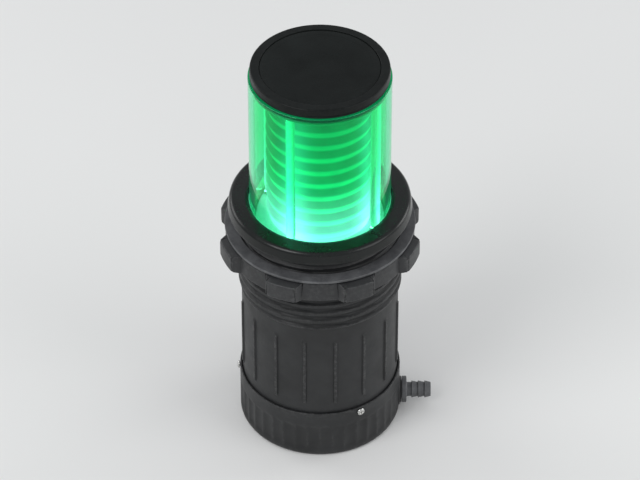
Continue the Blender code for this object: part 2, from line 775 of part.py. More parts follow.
def make_bush():
    profile = [
        (TUBE_CLEAR, LIP_TOP),
        (LIP_RADIUS, LIP_TOP),
        (LIP_RADIUS, SLEEVE_TOP + GAP),
        (SLEEVE_BORE - GAP, SLEEVE_TOP + GAP),
        (SLEEVE_BORE - GAP, BUSH_BOTTOM),
        (TUBE_CLEAR, BUSH_BOTTOM),
    ]
    turned("guide_bush", profile, WHITE_PLASTIC)
    wiper = ring_profile(WIPER_BORE, LIP_RADIUS, LIP_TOP + GAP, WIPER_TOP)
    turned("wiper_seal", wiper, RUBBER)
    gasket = ring_profile(GASKET_BORE, FLANGE_RADIUS, 0.0, FLANGE_UNDER - GAP)
    turned("deck_gasket", gasket, RUBBER)


def make_nut():
    washer_top = -DECK - GAP
    washer_bottom = washer_top - WASHER_HEIGHT
    turned("slip_washer", ring_profile(NUT_BORE, WASHER_RADIUS, washer_bottom, washer_top), GREY_PLASTIC)
    spacing = 2 * math.pi / NUT_LUGS
    lug_corners = [
        (-NUT_LUG_FOOT, NUT_RADIUS),
        (-NUT_LUG_FACE, NUT_LUG_RADIUS),
        (0.0, NUT_LUG_RADIUS + 0.0005),
        (NUT_LUG_FACE, NUT_LUG_RADIUS),
        (NUT_LUG_FOOT, NUT_RADIUS),
        (spacing / 2, NUT_RADIUS),
    ]
    outline = []
    for lug in range(NUT_LUGS):
        for offset, radius in lug_corners:
            angle = spacing * (lug + 0.5) + offset
            outline.append((radius * math.cos(angle), radius * math.sin(angle)))
    nut = flat_shape("mounting_nut", [outline, circle(NUT_BORE, SIDES)], NUT_HEIGHT, SLEEVE_PLASTIC)
    nut.location = (0, 0, washer_bottom - GAP - NUT_HEIGHT / 2)
    edge = nut.modifiers.new("edge", "BEVEL")
    edge.width = NUT_EDGE
    edge.segments = 1
    edge.limit_method = "ANGLE"
    edge.angle_limit = math.radians(60)


def make_cup():
    overlap_top = SLEEVE_BOTTOM - GAP
    profile = [
        (0, CUP_FLOOR),
        (SEAT_INNER, CUP_FLOOR),
        (SEAT_INNER, SPRING_SEAT),
        (SEAT_OUTER, SPRING_SEAT),
        (SEAT_OUTER, CUP_FLOOR),
        (CUP_BORE, CUP_FLOOR),
        (CUP_BORE, overlap_top),
        (CUP_SOCKET, overlap_top),
        (CUP_SOCKET, CUP_TOP),
        (CUP_RADIUS, CUP_TOP),
        (CUP_RADIUS, CUP_BOTTOM + CUP_EDGE),
        (CUP_RADIUS - CUP_EDGE, CUP_BOTTOM),
        (0, CUP_BOTTOM),
    ]
    cup = turned("bottom_cup", profile, SLEEVE_PLASTIC, ring=False)
    slot = block("lead_slot", (0.007, 0.012, 0.008), (0, 0.037, SPRING_SEAT - 0.0025), group=cutters)
    cut(cup, slot)
    for angle, name, radius in ((90, "gland", GLAND_SPIGOT), (0, "drain", DRAIN_SPIGOT)):
        hole = rod(f"{name}_hole", radius + GAP, CUT_PAST, group=cutters)
        cut(cup, radial(hole, angle, 0.042, INLET_Z))
    for number, angle in enumerate(SCREW_ANGLES):
        hole = rod(f"cup_screw_hole_{angle}", CUP_SCREW + GAP, CUT_PAST, group=cutters, sides=TINY_SIDES)
        cut(cup, radial(hole, angle, 0.0455, SCREW_Z))
        screw = make_screw(f"cup_screw_{number + 1}", (0, 0, 0), CUP_SCREW, CUP_SCREW_LENGTH)
        radial(screw, angle, CUP_RADIUS + GAP, SCREW_Z)
        screw.matrix_world = screw.matrix_world @ Matrix.Rotation(math.pi, 4, "X")


def make_gland():
    """Cable gland through the cup's wall, with its clamping nut and rubber bush."""
    body = turned(
        "gland_body",
        [
            (GLAND_BORE, GLAND_LENGTH),
            (GLAND_STEM, GLAND_LENGTH),
            (GLAND_STEM, GLAND_FLANGE_HEIGHT),
            (GLAND_FLANGE, GLAND_FLANGE_HEIGHT),
            (GLAND_FLANGE, 0.0),
            (GLAND_SPIGOT, 0.0),
            (GLAND_SPIGOT, -SPIGOT_LENGTH),
            (GLAND_BORE, -SPIGOT_LENGTH),
        ],
        GREY_PLASTIC,
        sides=FITTING_SIDES,
    )
    radial(body, 90, OUTLET_SEAT, INLET_Z)
    sealing = ring_profile(GLAND_SPIGOT + GAP, GLAND_FLANGE, 0, OUTLET_WASHER)
    radial(turned("gland_washer", sealing, RUBBER, sides=FITTING_SIDES), 90, CUP_RADIUS + GAP, INLET_Z)
    nut = turned(
        "gland_nut",
        [
            (GLAND_EYE, GLAND_NUT_LENGTH),
            (0.0055, GLAND_NUT_LENGTH),
            (GLAND_NUT, GLAND_NUT_LENGTH - 0.0023),
            (GLAND_NUT, 0.0),
            (0.0056, 0.0),
            (0.0056, GLAND_NUT_DEPTH),
            (GLAND_EYE, GLAND_NUT_DEPTH),
        ],
        GREY_PLASTIC,
        sides=FITTING_SIDES,
    )
    radial(nut, 90, OUTLET_SEAT + GLAND_FLANGE_HEIGHT + 0.0004, INLET_Z)
    bush = ring_profile(GLAND_BORE, GLAND_STEM, 0, GLAND_BUSH_HEIGHT)
    radial(turned("gland_bush", bush, RUBBER, sides=FITTING_SIDES), 90, OUTLET_SEAT + GLAND_LENGTH + GAP, INLET_Z)


def make_drain():
    """Barbed drain that lets out what runs past the wiper."""
    profile = [(DRAIN_BORE, DRAIN_LENGTH), (DRAIN_NECK, DRAIN_LENGTH)]
    for barb in range(DRAIN_BARBS):
        foot = DRAIN_LENGTH - DRAIN_BARB_STEP * (barb + 1)
        profile.append((DRAIN_SPIGOT, foot))
        profile.append((DRAIN_NECK, foot))
    profile += [
        (DRAIN_NECK, DRAIN_FLANGE_HEIGHT),
        (DRAIN_FLANGE, DRAIN_FLANGE_HEIGHT),
        (DRAIN_FLANGE, 0),
        (DRAIN_SPIGOT, 0),
        (DRAIN_SPIGOT, -SPIGOT_LENGTH),
        (DRAIN_BORE, -SPIGOT_LENGTH),
    ]
    radial(turned("drain_barb", profile, GREY_PLASTIC, sides=FITTING_SIDES), 0, OUTLET_SEAT, INLET_Z)
    sealing = ring_profile(DRAIN_SPIGOT + GAP, DRAIN_FLANGE, 0, OUTLET_WASHER)
    radial(turned("drain_washer", sealing, RUBBER, sides=FITTING_SIDES), 0, CUP_RADIUS + GAP, INLET_Z)


# ---------------------------------------------------------------- latch, spring and lead
def make_latch():
    foot_bottom = CUP_FLOOR + GAP
    post_size = (BRACKET_THICK, BRACKET_WIDTH, BRACKET_HEIGHT)
    post_place = (BRACKET_X + BRACKET_THICK / 2, 0, foot_bottom + BRACKET_HEIGHT / 2)
    bracket = block("latch_bracket", post_size, post_place, STEEL)
    foot_size = (BRACKET_FOOT, BRACKET_WIDTH, BRACKET_PLATE)
    foot_place = (BRACKET_X + BRACKET_FOOT / 2, 0, foot_bottom + BRACKET_PLATE / 2)
    join(bracket, block("bracket_foot", foot_size, foot_place, group=cutters))
    bore = rod("bracket_bore", PIN_RADIUS + GAP, 2 * BRACKET_THICK, group=cutters, sides=TINY_SIDES)
    cut(bracket, radial(bore, 0, BRACKET_X - BRACKET_THICK / 2, HOOK_PIVOT_Z))
    pin = rod("latch_pin", PIN_RADIUS, PIN_LENGTH, STEEL, sides=TINY_SIDES)
    radial(pin, 0, BRACKET_X - 0.0005, HOOK_PIVOT_Z)

    eye = circle(PIN_RADIUS + GAP, TINY_SIDES)
    hook = flat_shape("latch_hook", [hook_outline(), eye], HOOK_OUT - HOOK_IN, STEEL)
    middle = (HOOK_IN + HOOK_OUT) / 2
    hook.matrix_world = Matrix(((0, 0, 1, middle), (1, 0, 0, 0), (0, 1, 0, HOOK_PIVOT_Z), (0, 0, 0, 1)))
    tip = rod("hook_tip", PIN_RADIUS, HOOK_TIP_LENGTH, group=cutters, sides=TINY_SIDES)
    join(hook, radial(tip, 0, HOOK_IN + 0.0008, HOOK_TIP_Z))


def hook_outline():
    """Round eye, straight arm and round end, in the arm's own plane with the pivot at the origin."""
    length = HOOK_TIP_Z - HOOK_PIVOT_Z
    points = []
    for step in range(11):
        angle = math.radians(120 + 300 * step / 10)
        points.append((HOOK_EYE * math.cos(angle), HOOK_EYE * math.sin(angle)))
    for step in range(7):
        angle = math.radians(180 * step / 6)
        points.append((HOOK_ARM * math.cos(angle), length + HOOK_ARM * math.sin(angle)))
    return points


def make_spring():
    """Compression spring with a flat turn at each end."""
    bottom = SPRING_SEAT + GAP + SPRING_WIRE
    top = CARRIER_FLOOR - GAP - SPRING_WIRE
    points = []
    for step in range(SPRING_STEPS * (SPRING_TURNS + 2) + 1):
        turns = step / SPRING_STEPS
        rise = min(max((turns - 1) / SPRING_TURNS, 0.0), 1.0)
        flat = SPRING_END_RISE * (min(turns, 1.0) + max(turns - SPRING_TURNS - 1, 0.0))
        height = bottom + rise * (top - bottom - 2 * SPRING_END_RISE) + flat
        points.append(around(360 * turns + 90, SPRING_CIRCLE, height))
    wire("lift_spring", points, SPRING_WIRE, STEEL)


def make_lead():
    """The light's own lead, coiled so that it can follow the column, from the gland up to the driver board."""
    low = LEAD_FLOOR
    climb = LEAD_COIL_TOP - low
    points = [
        Vector((0, 0.0600, INLET_Z)),
        Vector((0, 0.0520, INLET_Z)),
        Vector((0, 0.0450, INLET_Z)),
        Vector((0, 0.0410, INLET_Z - 0.0009)),
        Vector((0, 0.0375, low)),
        Vector((0, 0.0300, low)),
        Vector((-0.0012, 0.0200, low)),
        Vector((-0.0048, 0.0135, low)),
    ]
    for step in range(LEAD_STEPS * LEAD_TURNS + 1):
        turns = step / LEAD_STEPS
        points.append(around(140 + 360 * turns, LEAD_CIRCLE, low + 0.0002 + climb * turns / LEAD_TURNS))
    last = points[-1]
    goal = Vector((0, LEAD_CIRCLE, CARRIER_FLOOR - 0.004))
    points.append(last.lerp(goal, 0.5) + Vector((-0.002, -0.001, 0.0005)))
    points.append(goal)
    points.append(Vector((0, LEAD_CIRCLE, DRIVER_TOP + 0.0002)))
    wire("coiled_lead", points, LEAD_WIRE, RUBBER)


make_cap()
make_collar()
make_lens_tube()
make_light_guides()
make_core()
make_led_ring()
make_carrier()
make_driver()
make_tie_bolt()
make_cam()
make_sleeve()
make_trim()
make_bush()
make_nut()
make_cup()
make_gland()
make_drain()
make_latch()
make_spring()
make_lead()
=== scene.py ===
import json
from math import atan2, cos, hypot, pi, radians, sin, tan

import bmesh
import bpy
from mathutils import Matrix, Vector


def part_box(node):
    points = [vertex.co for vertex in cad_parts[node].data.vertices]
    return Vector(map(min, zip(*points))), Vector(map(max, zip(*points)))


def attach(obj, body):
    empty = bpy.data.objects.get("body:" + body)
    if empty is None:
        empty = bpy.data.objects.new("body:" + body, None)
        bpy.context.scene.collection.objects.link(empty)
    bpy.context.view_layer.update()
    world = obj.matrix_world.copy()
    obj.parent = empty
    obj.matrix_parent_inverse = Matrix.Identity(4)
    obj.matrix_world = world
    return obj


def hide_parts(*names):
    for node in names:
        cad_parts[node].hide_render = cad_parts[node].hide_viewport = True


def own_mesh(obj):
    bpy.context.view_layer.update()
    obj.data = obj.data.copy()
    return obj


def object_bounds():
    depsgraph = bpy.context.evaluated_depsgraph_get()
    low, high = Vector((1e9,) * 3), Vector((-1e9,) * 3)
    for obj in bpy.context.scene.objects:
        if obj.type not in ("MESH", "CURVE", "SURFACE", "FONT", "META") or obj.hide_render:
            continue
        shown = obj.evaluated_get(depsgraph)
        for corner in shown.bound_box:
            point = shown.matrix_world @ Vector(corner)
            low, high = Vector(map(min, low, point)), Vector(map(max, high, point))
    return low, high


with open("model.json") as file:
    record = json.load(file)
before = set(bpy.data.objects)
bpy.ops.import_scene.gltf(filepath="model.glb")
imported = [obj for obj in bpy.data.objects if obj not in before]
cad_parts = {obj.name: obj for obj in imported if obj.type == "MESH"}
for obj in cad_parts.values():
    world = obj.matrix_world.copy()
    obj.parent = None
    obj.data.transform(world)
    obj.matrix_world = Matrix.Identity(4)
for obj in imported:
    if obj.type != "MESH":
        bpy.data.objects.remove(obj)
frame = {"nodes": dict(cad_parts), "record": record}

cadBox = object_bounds()
guideCount = sum(name.startswith("light_guide_") for name in frame["nodes"])
bodies = frame["record"]["behaviour"]["bodies"]
bodyOf = {node: body for body, nodes in bodies.items() for node in nodes}
gap = 0.0003  # clearance between pieces that touch
fullTurn = 2 * pi
print("frame loaded:", len(frame["nodes"]), "nodes")


class Named(dict):
    # a dictionary whose values can also be read by a dot and their name
    __getattr__ = dict.__getitem__


def reachOf(node):
    # inner and outer radius about the light's axis, and the lowest and highest point
    points = [vertex.co for vertex in frame["nodes"][node].data.vertices]
    radii = [hypot(point.x, point.y) for point in points]
    heights = [point.z for point in points]
    return Named(inner=min(radii), outer=max(radii), bottom=min(heights), top=max(heights))


def boxOf(node):
    low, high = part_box(node)
    return low, high, (low + high) / 2


def held(value, low=0.0, high=1.0):
    return min(max(value, low), high)


# sections are lists of (radius, height) that go round the axis

meshQuality = Named(sides=144, smallSides=48, arcSteps=4, sharpDegrees=38)


def filleted(corners, steps=meshQuality.arcSteps):
    # corners are (radius, height) or (radius, height, rounding); each rounding becomes a short arc
    points = []
    for index, (radius, height, *rounding) in enumerate(corners):
        rounding = rounding[0] if rounding else 0
        here = Vector((radius, height))
        inward = Vector(corners[index - 1][:2]) - here
        outward = Vector(corners[(index + 1) % len(corners)][:2]) - here
        plain = rounding <= 0 or min(inward.length, outward.length) < 1e-7
        inward.normalize()
        outward.normalize()
        spread = pi if plain else inward.angle(outward)
        if spread > radians(176):
            points.append((radius, height))
            continue
        reach = rounding / tan(spread / 2)
        centre = here + (inward + outward).normalized() * (rounding / sin(spread / 2))
        first = here + inward * reach - centre
        last = here + outward * reach - centre
        sweep = first.angle(last)
        for step in range(steps + 1):
            share = step / steps
            point = centre + (first * sin((1 - share) * sweep) + last * sin(share * sweep)) / sin(sweep)
            points.append((point.x, point.y))
    return points


def evenAngles(count):
    return [fullTurn * number / count for number in range(count)]


def shaded(piece, degrees=meshQuality.sharpDegrees):
    piece.data.shade_smooth()
    piece.data.set_sharp_from_angle(angle=radians(degrees))
    flat = piece.modifiers.new("flatFaces", "WEIGHTED_NORMAL")
    flat.keep_sharp = True
    return piece


def newPiece(name, shape):
    # hand a finished bmesh over to a new object; top_cap becomes topCap
    first, *others = name.split("_")
    name = first + "".join(word.capitalize() for word in others)
    bmesh.ops.recalc_face_normals(shape, faces=shape.faces)
    mesh = bpy.data.meshes.new(name)
    shape.to_mesh(mesh)
    shape.free()
    piece = bpy.data.objects.new(name, mesh)
    bpy.context.scene.collection.objects.link(piece)
    return piece


def lofted(name, sections, angles=None):
    # one section for each angle; it is closed, unless it begins and ends on the axis
    shape = bmesh.new()
    closed = sections[0][0][0] > 0
    count = len(sections)
    rows = len(sections[0])
    columns = []
    for angle, section in zip(angles or evenAngles(count), sections):
        across, along = cos(angle), sin(angle)
        column = [(radius * across, radius * along, height) for radius, height in section]
        columns.append([shape.verts.new(point) for point in column])
    for number in range(count):
        left, right = columns[number], columns[(number + 1) % count]
        for row in range(rows if closed else rows - 1):
            below = (row + 1) % rows
            shape.faces.new((left[row], left[below], right[below], right[row]))
    bmesh.ops.remove_doubles(shape, verts=shape.verts, dist=1e-7)
    bmesh.ops.dissolve_degenerate(shape, edges=shape.edges, dist=1e-8)
    return shaded(newPiece(name, shape))


def turned(name, corners, sides=meshQuality.sides, steps=meshQuality.arcSteps):
    return lofted(name, [filleted(corners, steps)] * sides)


def ringCorners(size, edge):
    return [
        (size.inner, size.top, edge), (size.outer, size.top, edge),
        (size.outer, size.bottom, edge), (size.inner, size.bottom, edge),
    ]


def drilling(name, radius, depth, sides=32):
    # round cutter standing on z = 0
    return turned(name, [(0, depth), (radius, depth), (radius, 0), (0, 0)], sides)


def moved(piece, x, y, z, degrees=0):
    turn = Matrix.Rotation(radians(degrees), 4, "Z")
    piece.data.transform(Matrix.Translation((x, y, z)) @ turn)
    return piece


def standing(piece, node):
    low, _, middle = boxOf(node)
    return moved(piece, middle.x, middle.y, low.z)


def laid(piece, degrees, distance, height):
    # lay a piece that was made along Z outwards along the radius at this angle
    turn = Matrix.Rotation(radians(degrees), 4, "Z")
    outwards = turn @ Matrix.Rotation(radians(90), 4, "Y")
    piece.data.transform(Matrix.Translation(turn @ Vector((distance, 0, height))) @ outwards)
    return piece


def combined(piece, tools, operation):
    for tool in tools:
        step = piece.modifiers.new("shape", "BOOLEAN")
        step.operation = operation
        step.solver = "EXACT"
        step.object = tool
        bpy.context.view_layer.update()
        seen = piece.evaluated_get(bpy.context.evaluated_depsgraph_get())
        mesh = bpy.data.meshes.new_from_object(seen)
        piece.modifiers.clear()
        piece.data = mesh
        bpy.data.objects.remove(tool, do_unlink=True)
    return shaded(piece)


def bar(name, size, centre=(0, 0, 0)):
    shape = bmesh.new()
    bmesh.ops.create_cube(shape, size=1.0)
    bmesh.ops.scale(shape, vec=Vector(size), verts=shape.verts)
    bmesh.ops.translate(shape, vec=Vector(centre), verts=shape.verts)
    return newPiece(name, shape)


def softened(piece, width):
    edges = piece.modifiers.new("edge", "BEVEL")
    edges.width = width
    edges.segments = 2
    edges.limit_method = "ANGLE"
    edges.angle_limit = radians(60)
    return piece


def wireThrough(name, points, radius, sides=12):
    # round wire along the points, slightly thinner at both ends
    shape = bmesh.new()
    rings = []
    for index, point in enumerate(points):
        ahead = points[min(index + 1, len(points) - 1)] - points[max(index - 1, 0)]
        side = ahead.cross(Vector((0, 0, 1))).normalized()
        other = side.cross(ahead).normalized()
        thickness = radius * (0.72 if index in (0, len(points) - 1) else 1.0)
        rings.append([
            shape.verts.new(point + (side * cos(turn) + other * sin(turn)) * thickness)
            for turn in evenAngles(sides)
        ])
    for near, far in zip(rings, rings[1:]):
        for number in range(sides):
            beyond = (number + 1) % sides
            shape.faces.new((near[number], near[beyond], far[beyond], far[number]))
    shape.faces.new(list(reversed(rings[0])))
    shape.faces.new(rings[-1])
    return shaded(newPiece(name, shape), 50)


def startFinish(name):
    # the finish, its shader, and the place on the piece in metres
    finish = bpy.data.materials.new(name)
    finish.use_nodes = True
    nodes = finish.node_tree.nodes
    return finish, nodes["Principled BSDF"], nodes.new("ShaderNodeTexCoord").outputs["Object"]


def feed(node, inputs):
    # plug in what comes from another node, and set plain numbers and colours on the socket itself
    for socket, value in inputs.items():
        if isinstance(value, bpy.types.NodeSocket):
            node.id_data.links.new(value, node.inputs[socket])
        else:
            node.inputs[socket].default_value = value


def addNode(kind, inputs, **settings):
    # the new node stands in the tree of what is plugged into it
    tree = next(value.id_data for value in inputs.values() if isinstance(value, bpy.types.NodeSocket))
    node = tree.nodes.new("ShaderNode" + kind)
    for name, value in settings.items():
        setattr(node, name, value)
    feed(node, inputs)
    return node.outputs


def noiseOver(place, scale, detail=4.0, roughness=0.55, stretch=(1, 1, 1)):
    spread = addNode("Mapping", {"Vector": place, "Scale": stretch})[0]
    return addNode("TexNoise", {"Vector": spread, "Scale": scale, "Detail": detail, "Roughness": roughness})[0]


def rampOf(source, stops):
    ramp = source.id_data.nodes.new("ShaderNodeValToRGB")
    marks = ramp.color_ramp.elements
    while len(marks) < len(stops):
        marks.new(0.5)
    for mark, (where, colour) in zip(marks, stops):
        mark.position = where
        mark.color = (*colour, 1.0)
    feed(ramp, {"Fac": source})
    return ramp.outputs["Color"]


def rangeOf(source, low, high, toLow, toHigh):
    ranges = {"From Min": low, "From Max": high, "To Min": toLow, "To Max": toHigh}
    return addNode("MapRange", {"Value": source, **ranges})[0]


def calculated(operation, first, second=None):
    # one step of arithmetic on numbers or outputs of other nodes
    return addNode("Math", {0: first} if second is None else {0: first, 1: second}, operation=operation)[0]


def brightened(colour, factor):
    return addNode("VectorMath", {0: colour, "Scale": factor}, operation="SCALE")[0]


def geometryOf(place, output):
    return place.id_data.nodes.new("ShaderNodeNewGeometry").outputs[output]


def bumped(shader, heights, strength, depth):
    # heights come with the coarsest first
    below = {}
    for height in heights:
        relief = {"Height": height, "Strength": strength, "Distance": depth, **below}
        below = {"Normal": addNode("Bump", relief)[0]}
    feed(shader, below)


def mouldedPlastic(name, look):
    # satin or spark-eroded plastic: mottled colour, fine grain and rubbed edges
    finish, shader, place = startFinish(name)
    mottle = noiseOver(place, look.mottleScale, 5.0)
    tone = rampOf(mottle, [(0.32, look.dark), (0.70, look.light)])
    edge = geometryOf(place, "Pointiness")
    rubbed = rampOf(edge, [(0.505, (0, 0, 0)), (0.56, (1, 1, 1))])
    scuffed = rampOf(noiseOver(place, 420.0, 6.0, 0.7), [(0.46, (0, 0, 0)), (0.62, (1, 1, 1))])
    worn = calculated("MULTIPLY", calculated("MULTIPLY", rubbed, scuffed), look.wear)
    mix = addNode("Mix", {"Factor": worn, "A": tone, "B": (*look.worn, 1.0)}, data_type="RGBA")
    patch = noiseOver(place, 95.0, 4.0, 0.6)
    feed(shader, {
        "Base Color": mix["Result"],
        "Roughness": rangeOf(patch, 0.3, 0.7, look.roughness - 0.06, look.roughness + 0.07),
        "IOR": 1.5,
        "Specular IOR Level": look.shine,
    })
    sink = noiseOver(place, 60.0, 2.0)
    grain = noiseOver(place, look.grainScale, 2.0)
    bumped(shader, [sink, grain], look.grain, look.grainDepth)
    return finish


def plastic(slot, dark, light, worn, **changes):
    usual = dict(wear=0.5, shine=0.5, grain=0.16, grainDepth=0.00006, mottleScale=55.0)
    return Named(slot=slot, dark=dark, light=light, worn=worn, **{**usual, **changes})


plasticLooks = Named(
    blackPlastic=plastic(
        "black_plastic", (0.0036, 0.0048, 0.0045), (0.0072, 0.0092, 0.0087), (0.040, 0.044, 0.043),
        wear=0.35, roughness=0.36, shine=0.16, grainScale=2600.0,
    ),
    trimPlastic=plastic(
        "black_plastic", (0.0036, 0.0048, 0.0045), (0.0070, 0.0090, 0.0085), (0.040, 0.044, 0.043),
        wear=0.35, roughness=0.24, shine=0.32, grainScale=2600.0, grain=0.12, grainDepth=0.00005,
    ),
    padPlastic=plastic(
        "pad_plastic", (0.0046, 0.0060, 0.0056), (0.0092, 0.0114, 0.0108), (0.045, 0.048, 0.047),
        wear=0.25, roughness=0.27, shine=0.12, mottleScale=40.0,
        grainScale=3400.0, grain=0.08, grainDepth=0.00004,
    ),
    sleevePlastic=plastic(
        "sleeve_plastic", (0.012, 0.0125, 0.013), (0.024, 0.025, 0.026), (0.09, 0.09, 0.09),
        wear=0.55, roughness=0.50, shine=0.42, mottleScale=38.0,
        grainScale=1500.0, grain=0.30, grainDepth=0.00010,
    ),
    nutPlastic=plastic(
        "sleeve_plastic", (0.016, 0.0165, 0.0175), (0.031, 0.032, 0.034), (0.12, 0.12, 0.12),
        wear=0.6, roughness=0.46, shine=0.42, mottleScale=44.0,
        grainScale=1700.0, grain=0.26, grainDepth=0.00009,
    ),
    nylon=plastic(
        "grey_plastic", (0.060, 0.062, 0.066), (0.105, 0.108, 0.113), (0.24, 0.24, 0.24),
        roughness=0.48, mottleScale=120.0, grainScale=1900.0, grain=0.22, grainDepth=0.00007,
    ),
    acetal=plastic(
        "white_plastic", (0.60, 0.60, 0.575), (0.73, 0.73, 0.705), (0.50, 0.49, 0.46),
        wear=0.4, roughness=0.40, mottleScale=60.0, grainScale=1600.0, grain=0.15,
    ),
    chipEpoxy=plastic(
        "chip_black", (0.012, 0.012, 0.013), (0.022, 0.022, 0.024), (0.10, 0.10, 0.10),
        wear=0.3, roughness=0.42, mottleScale=400.0, grainScale=4200.0, grain=0.3, grainDepth=0.00004,
    ),
    ferrite=plastic(
        "ferrite", (0.045, 0.045, 0.047), (0.085, 0.085, 0.088), (0.2, 0.2, 0.2),
        roughness=0.62, mottleScale=500.0, grainScale=2600.0, grain=0.5, grainDepth=0.00008,
    ),
)


def mattRubber(name, dark, light):
    finish, shader, place = startFinish(name)
    bloom = noiseOver(place, 85.0, 6.0, 0.65)
    feed(shader, {
        "Base Color": rampOf(bloom, [(0.35, dark), (0.72, light)]),
        "Roughness": rangeOf(bloom, 0.3, 0.7, 0.66, 0.86),
        "Sheen Weight": 0.12,
        "Sheen Roughness": 0.5,
    })
    bumped(shader, [noiseOver(place, 1300.0, 3.0)], 0.35, 0.00008)
    return finish


def turnedMetal(name, dark, light, roughness, stretch):
    # bright metal with fine drawn or turned lines along one direction
    finish, shader, place = startFinish(name)
    lines = noiseOver(place, 900.0, 5.0, 0.7, stretch)
    stain = noiseOver(place, 130.0, 5.0, 0.6)
    feed(shader, {
        "Base Color": rampOf(lines, [(0.3, dark), (0.7, light)]),
        "Roughness": rangeOf(stain, 0.3, 0.7, roughness - 0.07, roughness + 0.10),
        "Metallic": 1.0,
    })
    bumped(shader, [lines], 0.18, 0.00003)
    return finish


# painted green light: glow colours and strengths painted on the parts, standing in for the light from the
# diodes at the foot of the column up to the cap
paintedGlowLook = Named(
    core=[
        (0.0, (0.40, 1.35, 1.15)), (0.14, (0.10, 1.20, 0.78)), (0.28, (0.02, 0.95, 0.45)),
        (0.48, (0.004, 0.66, 0.24)), (1.0, (0.004, 0.34, 0.115)),
    ],
    guide=[
        (0.0, (0.95, 0.62, 0.90)), (0.18, (0.40, 0.66, 0.80)),
        (0.50, (0.12, 0.64, 0.48)), (1.0, (0.06, 0.50, 0.28)),
    ],
    tube=[(0.0, (0.10, 1.0, 0.55)), (0.25, (0.01, 0.70, 0.28)), (1.0, (0.005, 0.45, 0.18))],
    # painted pool of light above each diode: its colour before the tube's painted green tint, its height, and
    # how much is left halfway between two diodes
    spot=(3.4, 1.3, 3.0),  # before the tube's green tint
    spotHeight=0.040,
    spotBetween=0.42,  # how much of the spot is left halfway between two diodes
    # painted stripe of light up behind each guide
    stripe=(0.30, 1.15, 1.10),
    # strengths of the painted glow on the guides, core, tube and collar, and of the diodes' own light
    guideStrength=1.95,
    coreStrength=0.80,
    tubeStrength=0.060,
    collarStrength=0.50,
    diodeStrength=6.0,
    guideTint=(0.50, 0.95, 0.70, 1),
    # the tube's painted green cast, for the green light seen through it, and a painted green tint on its
    # reflections
    tubeTint=(0.15, 0.86, 0.46, 1),
    tubeGlint=(0.30, 1.0, 0.62, 1),
)
diodeCentre = boxOf("led_1")[2]
diodeAngle = atan2(diodeCentre.y, diodeCentre.x)  # the others follow at even angles


# painted glow colour by height, from the stops between bottom and top
def paintedGlowRamp(place, bottom, top, stops):
    apart = addNode("SeparateXYZ", {"Vector": place})
    return rampOf(rangeOf(apart["Z"], bottom, top, 0.0, 1.0), stops), apart


def paintedGlowAcrylic(name, length, radius):
    # clear rod with a painted glow standing in for the light it carries up from its diode: the painted glow is
    # strongest at its foot and along its outward side
    finish, shader, place = startFinish(name)
    colour, apart = paintedGlowRamp(place, 0.0, length, paintedGlowLook.guide)
    # painted shading across the rod: full glow on its outward face, fading towards its edges and inward side
    outward = calculated("POWER", rangeOf(apart["X"], radius * 0.1, radius, 0.14, 1.0), 1.6)
    uneven = rangeOf(noiseOver(place, 420.0, 4.0, 0.6, (1, 1, 0.06)), 0.3, 0.7, 0.78, 1.12)
    feed(shader, {
        "Emission Color": brightened(colour, calculated("MULTIPLY", outward, uneven)),
        "Emission Strength": paintedGlowLook.guideStrength,
        "Base Color": paintedGlowLook.guideTint,
        "Roughness": 0.10,
        "IOR": 1.49,
        "Transmission Weight": 0.85,
    })
    bumped(shader, [noiseOver(place, 240.0, 2.0, 0.5, (1, 1, 0.2))], 0.12, 0.0002)
    return finish


def paintedGlowWhite(name, bottom, top, strength):
    # white plastic with the green light it would scatter painted on as emission; the painted light is stronger
    # on its undersides than on its ledges
    finish, shader, place = startFinish(name)
    colour, apart = paintedGlowRamp(place, bottom, top, paintedGlowLook.core)
    facing = addNode("SeparateXYZ", {"Vector": geometryOf(place, "Normal")})
    # painted shading: faces turned down get more painted light than faces turned up
    under = rangeOf(facing["Z"], -0.30, 0.30, 1.35, 0.50)
    cloudy = noiseOver(place, 70.0, 3.0, 0.5)
    uneven = rangeOf(cloudy, 0.3, 0.7, 0.84, 1.14)
    paintedGlow = brightened(colour, calculated("MULTIPLY", under, uneven))

    # a painted pool of light above each diode, and a softer painted stripe of light up behind each guide
    turn = calculated("ARCTAN2", apart["Y"], apart["X"])
    turn = calculated("MULTIPLY", calculated("SUBTRACT", turn, diodeAngle), guideCount)
    wave = rangeOf(calculated("COSINE", turn), -1.0, 1.0, 0.0, 1.0)
    wave = calculated("POWER", wave, 2.4)
    nearGuide = rangeOf(wave, 0.0, 1.0, paintedGlowLook.spotBetween, 1.0)
    upwards = rangeOf(apart["Z"], bottom, bottom + paintedGlowLook.spotHeight, 1.0, 0.0)
    spot = calculated("MULTIPLY", nearGuide, calculated("POWER", upwards, 1.4))
    fading = rangeOf(apart["Z"], bottom, top, 0.75, 0.12)
    stripe = calculated("MULTIPLY", calculated("POWER", wave, 1.5), fading)
    for extra, amount in (("spot", spot), ("stripe", stripe)):
        paintedGlow = addNode("VectorMath", {0: paintedGlow, 1: brightened(paintedGlowLook[extra], amount)})[0]
    feed(shader, {
        "Emission Color": paintedGlow,
        "Emission Strength": strength,
        # painted green in the base colour of the white plastic, for the green light falling on it
        "Base Color": rampOf(cloudy, [(0.3, (0.030, 0.16, 0.085)), (0.7, (0.050, 0.22, 0.12))]),
        "Roughness": rangeOf(cloudy, 0.3, 0.7, 0.38, 0.50),
    })
    bumped(shader, [noiseOver(place, 1400.0, 2.0)], 0.2, 0.00008)
    return finish


